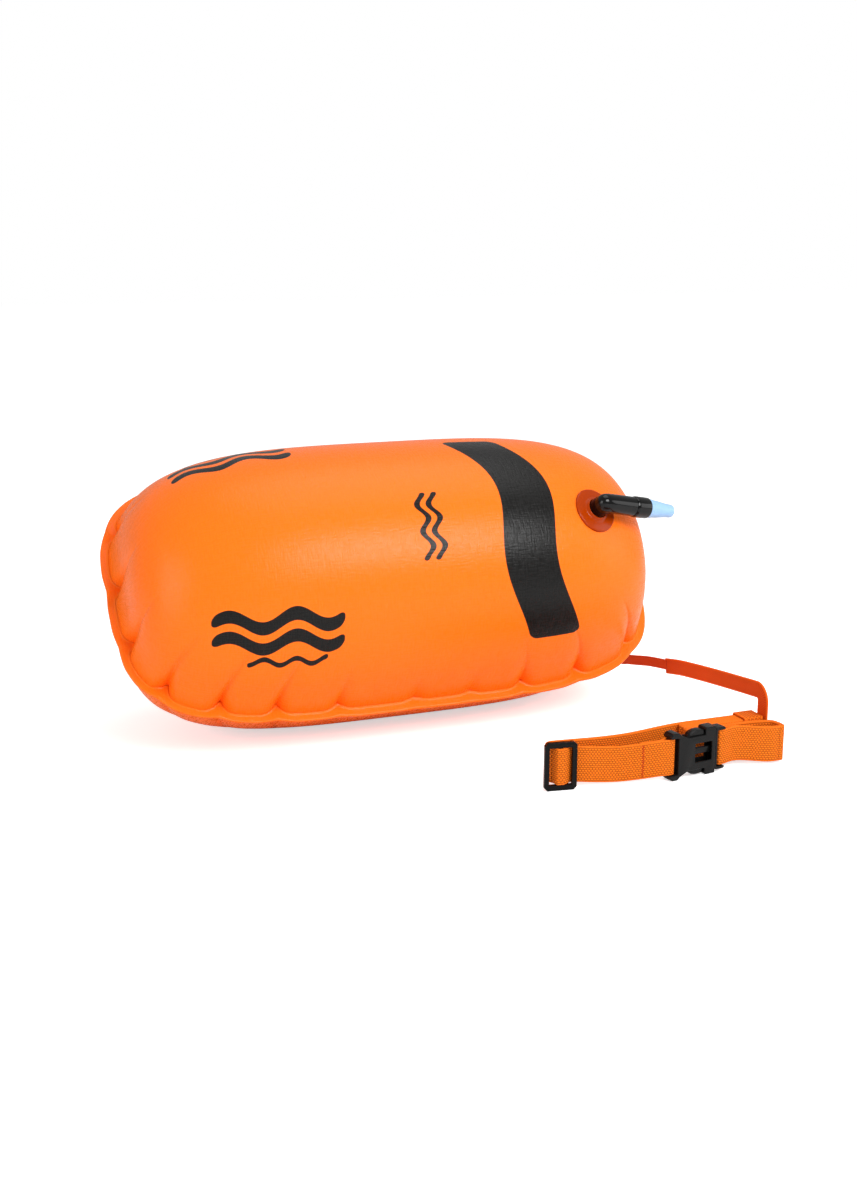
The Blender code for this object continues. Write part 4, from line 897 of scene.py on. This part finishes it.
mouth_end = RING_END + MOUTH_LENGTH
mouthpiece = turned("mouth_tube", [
    (0.0015, 0.0340), (0.0047, 0.0340), (0.0047, 0.0376), (0.0069, 0.0377), (0.0069, RING_END + 0.0032),
    (0.00685, RING_END + 0.0040), (0.0066, RING_END + 0.0046), (0.0065, RING_END + 0.0056),
    (0.0062, RING_END + 0.0100), (0.0057, RING_END + 0.0140), (0.00535, RING_END + 0.0165),
    (0.0051, RING_END + 0.0190), (0.00495, RING_END + 0.0212), (0.0049, mouth_end - 0.0016),
    (0.0047, mouth_end - 0.0007), (0.0043, mouth_end - 0.00015), (0.0038, mouth_end),
    (0.0033, mouth_end - 0.0003), (0.0031, mouth_end - 0.0010), (0.0031, RING_END + 0.0040),
    (0.0015, RING_END)], tube_stand, mouth_blue)
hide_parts("mouthpiece")
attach(mouthpiece, "mouth")

steps = SPRING_TURNS * 24
climb = SPRING_LENGTH - 2 * SPRING_WIRE_RADIUS
maker = bmesh.new()
bmesh.ops.create_circle(maker, segments=8, radius=SPRING_WIRE_RADIUS, cap_ends=False)
bmesh.ops.transform(maker, verts=maker.verts, matrix=Matrix.Translation(
    (SPRING_RADIUS, 0, SPRING_START + SPRING_WIRE_RADIUS)) @ Matrix.Rotation(math.pi / 2, 4, 'X'))
bmesh.ops.contextual_create(maker, geom=maker.edges)
wound = bmesh.ops.spin(maker, geom=maker.faces[:], cent=(0, 0, 0), axis=Z_AXIS,
                       dvec=(0, 0, climb / steps), angle=math.tau * SPRING_TURNS, steps=steps,
                       use_merge=False, use_duplicate=False)
bmesh.ops.transform(maker, matrix=tube_stand, verts=maker.verts)
return_spring = finished("return_spring", maker, spring_steel)
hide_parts("valve_spring")
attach(return_spring, "buoy")
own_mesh(return_spring)

for name, coat in (("valve_barrel", tube_black), ("poppet", tube_black), ("poppet_seal", seal_black)):
    nodes[name].data.materials.clear()
    nodes[name].data.materials.append(coat)

# Buckle
# A side release buckle moulded in black acetal: the belt's end is looped round the female half's
# bar, and the male half's two springy arms snap behind its side walls. The faces have a fine grain.

HARDWARE_MIDDLE = 0.0165
BUCKLE_STAND = (Matrix.Translation((0.1467, -0.2040, HARDWARE_MIDDLE))
                @ Matrix.Rotation(math.radians(8), 4, 'Z'))

buckle_black = plastic("buckle_plastic", (0.005, 0.005, 0.005), 0.26, 0.2, 0.0, 0.00002, 2600)


def moulding(name, node, body, coat, rounding):
    """A copy of a CAD moulding with all its edges rounded."""
    maker = bmesh.new()
    maker.from_mesh(nodes[node].data)
    bmesh.ops.remove_doubles(maker, verts=maker.verts, dist=2e-6)
    bmesh.ops.dissolve_limit(maker, angle_limit=math.radians(1), verts=maker.verts, edges=maker.edges)
    mesh = bpy.data.meshes.new(name)
    maker.to_mesh(mesh)
    maker.free()
    mesh.materials.clear()
    mesh.materials.append(coat)
    mesh.shade_smooth()
    made = bpy.data.objects.new(name, mesh)
    bpy.context.collection.objects.link(made)
    edge = made.modifiers.new("rounded", 'BEVEL')
    edge.width = rounding
    edge.segments = 3
    edge.limit_method = 'ANGLE'
    edge.angle_limit = math.radians(28)
    edge.harden_normals = True
    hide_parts(node)
    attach(made, body)
    return made


for name, node, body, rounding in (("buckle_socket", "buckle_female", "buoy", 0.0005),
                                   ("buckle_plug", "buckle_male", "buckle_insert", 0.00045),
                                   ("upper_latch", "release_arm_upper", "upper_arm", 0.0006),
                                   ("lower_latch", "release_arm_lower", "lower_arm", 0.0006)):
    moulding(name, node, body, buckle_black, rounding)

# Slide adjuster
# A flat black plastic slider: the webbing weaves over its middle bar, and pulling it sets the
# belt's length. The frame is smooth, with rounded corners.

SLIDER_STAND = (Matrix.Translation((0.0504, -0.1975, HARDWARE_MIDDLE))
                @ Matrix.Rotation(math.radians(-9), 4, 'Z'))

adjuster_black = plastic("adjuster_plastic", (0.003, 0.003, 0.003), 0.22, 0.14, 0.0, 0.00001, 2600)
moulding("belt_slider", "slide_adjuster", "adjuster", adjuster_black, 0.0009)

# Belt
# One long strap of orange woven webbing, doubled over, folded in flat layers and packed on edge.
# Its weave shows as small bricks between two smooth selvages, and the end looped round the female half's bar
# is bar tacked.

WEB_WIDTH = 0.025
WEB_THICKNESS = 0.0013
FOLD_GAP = 0.0004
GAP = 0.0003
LEFT_FOLD_RADIUS = 0.0053
LEFT_FOLD_START = -135
BUNDLE_RIGHT = 0.2057
BUNDLE_BACK = -0.1751
BUNDLE_LENGTH = 0.0535
RUN_END_X = 0.2135
RUN_END_Y = -0.2055
TAIL_LENGTH = 0.014
SAG_LIFT = 0.0020
LAYER_PITCH = 2 * WEB_THICKNESS + FOLD_GAP + GAP
PAIR_OFFSET = FOLD_GAP / 2 + WEB_THICKNESS / 2
PAIR_HALF = PAIR_OFFSET + WEB_THICKNESS / 2
CORNER_REACH = GAP + WEB_THICKNESS / 2
HARDWARE_LIFT = 0.0040
BUNDLE_LIFT = 0.0019
SLEEVE_LENGTH = 0.0150
BUNDLE_LAYERS = 5
FOLD_LEAD = 3 * GAP
SLIDER_LENGTH = 0.022
SLIDER_RAIL = 0.0032
SLIDER_THICKNESS = 0.003
SLIDER_BAR = 0.003
SLIDER_BAR_THICKNESS = 0.002
SLIDER_SIDE = SLIDER_LENGTH / 2 - SLIDER_RAIL
BAR_WIDTH = 0.0030
BAR_THICKNESS = 0.0030
FEMALE_START = -0.0230
MALE_END = 0.0230


def on_hardware(stand, points):
    """Points given beside the buckle or slider, as (x, y, lift) points of the plan."""
    placed = []
    for x, y in points:
        spot = stand @ Vector((x, y, 0))
        placed.append(Vector((spot.x, spot.y, HARDWARE_LIFT)))
    return placed


def fold(centre, radius, start, end, lift, steps=20):
    """An arc of the plan about a centre, from one heading angle to another, in degrees."""
    made = []
    for step in range(steps + 1):
        turn = math.radians(start + (end - start) * step / steps)
        made.append(Vector((centre[0] + radius * math.cos(turn),
                            centre[1] + radius * math.sin(turn), lift)))
    return made


def left_fold_centre():
    outer = PAIR_HALF + LEFT_FOLD_RADIUS
    return Vector((outer - SLIDER_SIDE, outer + SLIDER_THICKNESS / 2 + GAP, 0))


def left_join(back, offset):
    """A point before the left fold's start, beside the slider, moved sideways by an offset."""
    turn = math.radians(LEFT_FOLD_START)
    outward = Vector((math.cos(turn), math.sin(turn), 0))
    along = Vector((math.sin(turn), -math.cos(turn), 0))
    spot = left_fold_centre() + outward * (LEFT_FOLD_RADIUS + offset) - along * back
    return spot.x, spot.y


layers = [BUNDLE_BACK - LAYER_PITCH * layer for layer in range(BUNDLE_LAYERS)]
layers[-1] -= TAPE_THICKNESS + GAP


def bundle_route():
    """The doubled webbing's middle line: round the left fold, along the back and through the folds."""
    centre = SLIDER_STAND @ left_fold_centre()
    route = on_hardware(SLIDER_STAND, [left_join(FOLD_LEAD, 0)])
    route += fold(centre, LEFT_FOLD_RADIUS, LEFT_FOLD_START - 9, -270, HARDWARE_LIFT)
    right = BUNDLE_RIGHT
    left = BUNDLE_RIGHT - BUNDLE_LENGTH
    back_start = route[-1]
    settle = [back_start,
              Vector(((back_start.x + left) / 2,
                      back_start.y + (layers[0] - back_start.y) / 8, BUNDLE_LIFT)),
              Vector((left, layers[0] - PAIR_OFFSET / 4, BUNDLE_LIFT)),
              Vector(((left + right) / 2, layers[0], BUNDLE_LIFT)),
              Vector((right, layers[0], BUNDLE_LIFT))]
    route += smooth_route(settle, 16)[1:]
    for layer, (here, after) in enumerate(zip(layers, layers[1:])):
        radius = (here - after) / 2
        if layer % 2 == 0:
            route += fold((right, here - radius), radius, 90, -90, BUNDLE_LIFT, 14)[1:]
            route.append(Vector((left, after, BUNDLE_LIFT)))
        else:
            route += fold((left, here - radius), radius, 90, 270, BUNDLE_LIFT, 14)[1:]
            stop = right - SLEEVE_LENGTH if layer == len(layers) - 2 else right
            route.append(Vector((stop, after, BUNDLE_LIFT)))
    fold_radius = LAYER_PITCH / 2
    drop = RUN_END_Y + fold_radius - layers[-1]
    leave = [route[-1],
             Vector((right, layers[-1] - fold_radius, BUNDLE_LIFT)),
             Vector((RUN_END_X, layers[-1] + drop / 3, BUNDLE_LIFT)),
             Vector((RUN_END_X + fold_radius, layers[-1] + drop * 2 / 3, BUNDLE_LIFT))]
    route += smooth_route(leave, 12)[1:]
    route += fold((RUN_END_X, RUN_END_Y + fold_radius), fold_radius, 0, -90, BUNDLE_LIFT, 10)
    route.append(Vector((RUN_END_X - fold_radius, RUN_END_Y, BUNDLE_LIFT)))
    return route


def corner_at(x, y, angle):
    """A point of the webbing's middle line as it rounds an edge of the hardware."""
    return (x + CORNER_REACH * math.cos(math.radians(angle)),
            y + CORNER_REACH * math.sin(math.radians(angle)))


def round_corner(x, y, start, end):
    """Points close together as the webbing rounds one edge of the hardware."""
    return [corner_at(x, y, start + (end - start) * step / 4) for step in range(5)]


def round_bar(near, far, side):
    """The webbing's points round a bar's edge: front, round the end in the slot, and back."""
    half = BAR_THICKNESS / 2
    return ([corner_at(far, -half, -90)] + round_corner(near, -half, -90, -90 + side * 90)
            + round_corner(near, half, -90 + side * 90, -90 + side * 180) + [corner_at(far, half, 90)])


def front_run_route():
    """The single webbing: tail, round the female half's bar, and over the slider's bar."""
    bar = on_hardware(BUCKLE_STAND, round_bar(FEMALE_START + BAR_WIDTH, FEMALE_START, 1))
    leave = on_hardware(BUCKLE_STAND, [(FEMALE_START - 2 * BAR_WIDTH, -PAIR_OFFSET)])
    half_bar = SLIDER_BAR / 2
    back = SLIDER_THICKNESS / 2
    over = on_hardware(SLIDER_STAND, [(SLIDER_LENGTH / 2 - SLIDER_RAIL / 2, back + CORNER_REACH)]
                       + round_corner(SLIDER_SIDE, back, 90, 135)
                       + round_corner(half_bar, -SLIDER_BAR_THICKNESS / 2, -45, -90)
                       + round_corner(-half_bar, -SLIDER_BAR_THICKNESS / 2, -90, -135)
                       + [left_join(2 * FOLD_LEAD + GAP, PAIR_OFFSET),
                          left_join(FOLD_LEAD + GAP, PAIR_OFFSET)])
    sag = (leave[0] + over[0]) / 2
    sag.z = SAG_LIFT
    quarter = (leave[0] + sag) / 2
    near = (over[0] + sag) / 2
    quarter.z = near.z = sag.z + (HARDWARE_LIFT - sag.z) / 3
    main = smooth_route(leave + [quarter, sag, near, over[0]], 12) + over[1:]
    tail = [spot + Vector((along.y, -along.x, 0)).normalized() * 2 * PAIR_OFFSET
            for spot, along in zip(main, directions(main))
            if (spot - main[0]).length < TAIL_LENGTH]
    return list(reversed(tail)) + list(reversed(bar)) + main, len(tail) + len(bar)


def sewn_end_route():
    """The doubled part's end, stitched behind the slider's middle bar."""
    half_bar = SLIDER_BAR / 2
    behind_bar = SLIDER_BAR_THICKNESS / 2 + CORNER_REACH
    return smooth_route(on_hardware(SLIDER_STAND, [
        left_join(FOLD_LEAD + GAP, -PAIR_OFFSET), left_join(2 * FOLD_LEAD + GAP, -PAIR_OFFSET),
        (-half_bar, behind_bar), (half_bar, behind_bar)]), 8)


def buckle_loop_route():
    """The doubled webbing's bight: in along the front, round the male half's bar, and back out."""
    join_x = RUN_END_X - LAYER_PITCH / 2 - GAP
    step_x = Vector((LAYER_PITCH, 0, 0))
    start = Vector((join_x, RUN_END_Y - PAIR_OFFSET, BUNDLE_LIFT))
    end = Vector((join_x, RUN_END_Y + PAIR_OFFSET, BUNDLE_LIFT))
    outside = MALE_END + 3 * BAR_WIDTH
    front, back = on_hardware(BUCKLE_STAND, [(outside, -PAIR_OFFSET), (outside, PAIR_OFFSET)])
    bar = on_hardware(BUCKLE_STAND, round_bar(MALE_END - BAR_WIDTH, MALE_END, -1))
    inward = smooth_route([start, start - step_x, front, bar[0]], 8)
    outward = smooth_route([bar[-1], back, end - step_x, end], 8)
    return inward[:-1] + bar + outward[1:]


# The first colour is painted shade in the hollows between the webbing's ribs.
web_orange = tape_material("belt_webbing", (0.13, 0.010, 0.0003), (0.95, 0.200, 0.007),
                           (0.82, 0.16, 0.007), 0.0021, 0.00147, WEB_WIDTH / 2, 0.5)


def webbing(name, route, offset, coat=web_orange):
    """A strip standing on edge along a plan route, moved sideways by an offset."""
    stands = []
    plan = [Vector((spot.x, spot.y, 0)) for spot in route]
    for spot, along in zip(route, directions(plan)):
        aside = Vector((-along.y, along.x, 0))
        turn = Matrix((along, Z_AXIS, along.cross(Z_AXIS))).transposed().to_4x4()
        stands.append(Matrix.Translation(spot + aside * offset + Z_AXIS * WEB_WIDTH / 2) @ turn)
    maker = bmesh.new()
    drawn_strap(maker, stands, tape_edge(WEB_WIDTH, WEB_THICKNESS, 8))
    made = finished(name, maker, coat)
    return made


pair = bundle_route()
back_run = webbing("webbing_back", pair, PAIR_OFFSET)
return_run = webbing("webbing_return", pair, -PAIR_OFFSET)
front_route, front_start = front_run_route()
tack_place = sum((after - here).length for here, after in zip(front_route, front_route[1:front_start + 1]))
# The first colour is painted shade in the hollows between the webbing's ribs.
web_tacked = tape_material("belt_webbing_tacked", (0.13, 0.010, 0.0003), (0.95, 0.200, 0.007),
                           (0.82, 0.16, 0.007), 0.0021, 0.00147, WEB_WIDTH / 2, 0.5,
                           tack_place + TAIL_LENGTH - 0.0025)
front_run = webbing("webbing_front", front_route, 0, web_tacked)
sewn_end = webbing("webbing_end", sewn_end_route(), 0)
buckle_loop = webbing("webbing_loop", buckle_loop_route(), 0)
for piece, node in ((back_run, "belt_back_run"), (return_run, "belt_return_run"),
                    (front_run, "belt_front_run"), (sewn_end, "belt_sewn_end"),
                    (buckle_loop, "belt_buckle_loop")):
    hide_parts(node)
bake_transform(back_run)
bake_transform(return_run)
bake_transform(front_run)
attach(sewn_end, "adjuster")
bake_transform(buckle_loop)

# Belt sleeve
# The wide tether tape's end is sewn into a sleeve round the folded layers. It holds them together,
# and its top edge stands a little above the belt.

sleeve_low = layers[-2] - PAIR_HALF - GAP
sleeve_high = layers[0] + PAIR_HALF + GAP
sleeve_bottom = BUNDLE_LIFT - GAP
sleeve_top = BUNDLE_LIFT + WEB_WIDTH + GAP
sleeve_right = FOOT_X - TAPE_THICKNESS / 2 - GAP
sleeve_middle = sleeve_right - SLEEVE_LENGTH / 2
half_wall = TAPE_THICKNESS / 2
sleeve_route = []
for middle_y, middle_z, start_turn in (
        (sleeve_high - 0.0004, sleeve_top - 0.0004, 0), (sleeve_low + 0.0004, sleeve_top - 0.0004, 90),
        (sleeve_low + 0.0004, sleeve_bottom + 0.0004, 180),
        (sleeve_high - 0.0004, sleeve_bottom + 0.0004, 270)):
    for step in range(7):
        turn = math.radians(start_turn + 15 * step)
        sleeve_route.append(Vector((sleeve_middle, middle_y + (0.0004 + half_wall) * math.cos(turn),
                                    middle_z + (0.0004 + half_wall) * math.sin(turn))))
maker = bmesh.new()
count = len(sleeve_route)
sleeve_stands = []
for index in range(count + 1):
    along = (sleeve_route[(index + 1) % count] - sleeve_route[index - 1]).normalized()
    if index == count:
        along = (sleeve_route[1] - sleeve_route[-1]).normalized()
    turn = Matrix((along, X_AXIS, along.cross(X_AXIS))).transposed().to_4x4()
    sleeve_stands.append(Matrix.Translation(sleeve_route[index % count]) @ turn)
drawn_strap(maker, sleeve_stands, tape_edge(SLEEVE_LENGTH, TAPE_THICKNESS), closed=True)
# The first colour is painted shade in the hollows between the sleeve tape's ribs.
sleeve_orange = tape_material("sleeve_tape", (0.15, 0.012, 0.0003), (0.95, 0.185, 0.006),
                              (0.82, 0.15, 0.007), 0.0021, 0.00147, SLEEVE_LENGTH / 2, 0.4)
sleeve = finished("belt_sleeve", maker, sleeve_orange)
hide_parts("tether_sleeve")
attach(sleeve, "buoy")

# Tether tab
# A small patch of the same coated cloth is welded on the end flange, with a slot that the narrow
# tape passes through.

maker = bmesh.new()
maker.from_mesh(nodes["tether_tab"].data)
bmesh.ops.remove_doubles(maker, verts=maker.verts, dist=2e-6)
bmesh.ops.dissolve_limit(maker, angle_limit=math.radians(1), verts=maker.verts, edges=maker.edges)
places = maker.loops.layers.uv.verify()
tab_back = tab_stand.inverted()
for face in maker.faces:
    for loop in face.loops:
        spot = tab_back @ loop.vert.co
        loop[places].uv = (spot.x, spot.z)
mesh = bpy.data.meshes.new("welded_tab")
maker.to_mesh(mesh)
maker.free()
mesh.materials.clear()
mesh.materials.append(back_cloth)
mesh.shade_smooth()
tab = bpy.data.objects.new("welded_tab", mesh)
bpy.context.collection.objects.link(tab)
edge = tab.modifiers.new("rounded", 'BEVEL')
edge.width = 0.0004
edge.segments = 2
edge.limit_method = 'ANGLE'
edge.harden_normals = True
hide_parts("tether_tab")
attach(tab, "buoy")
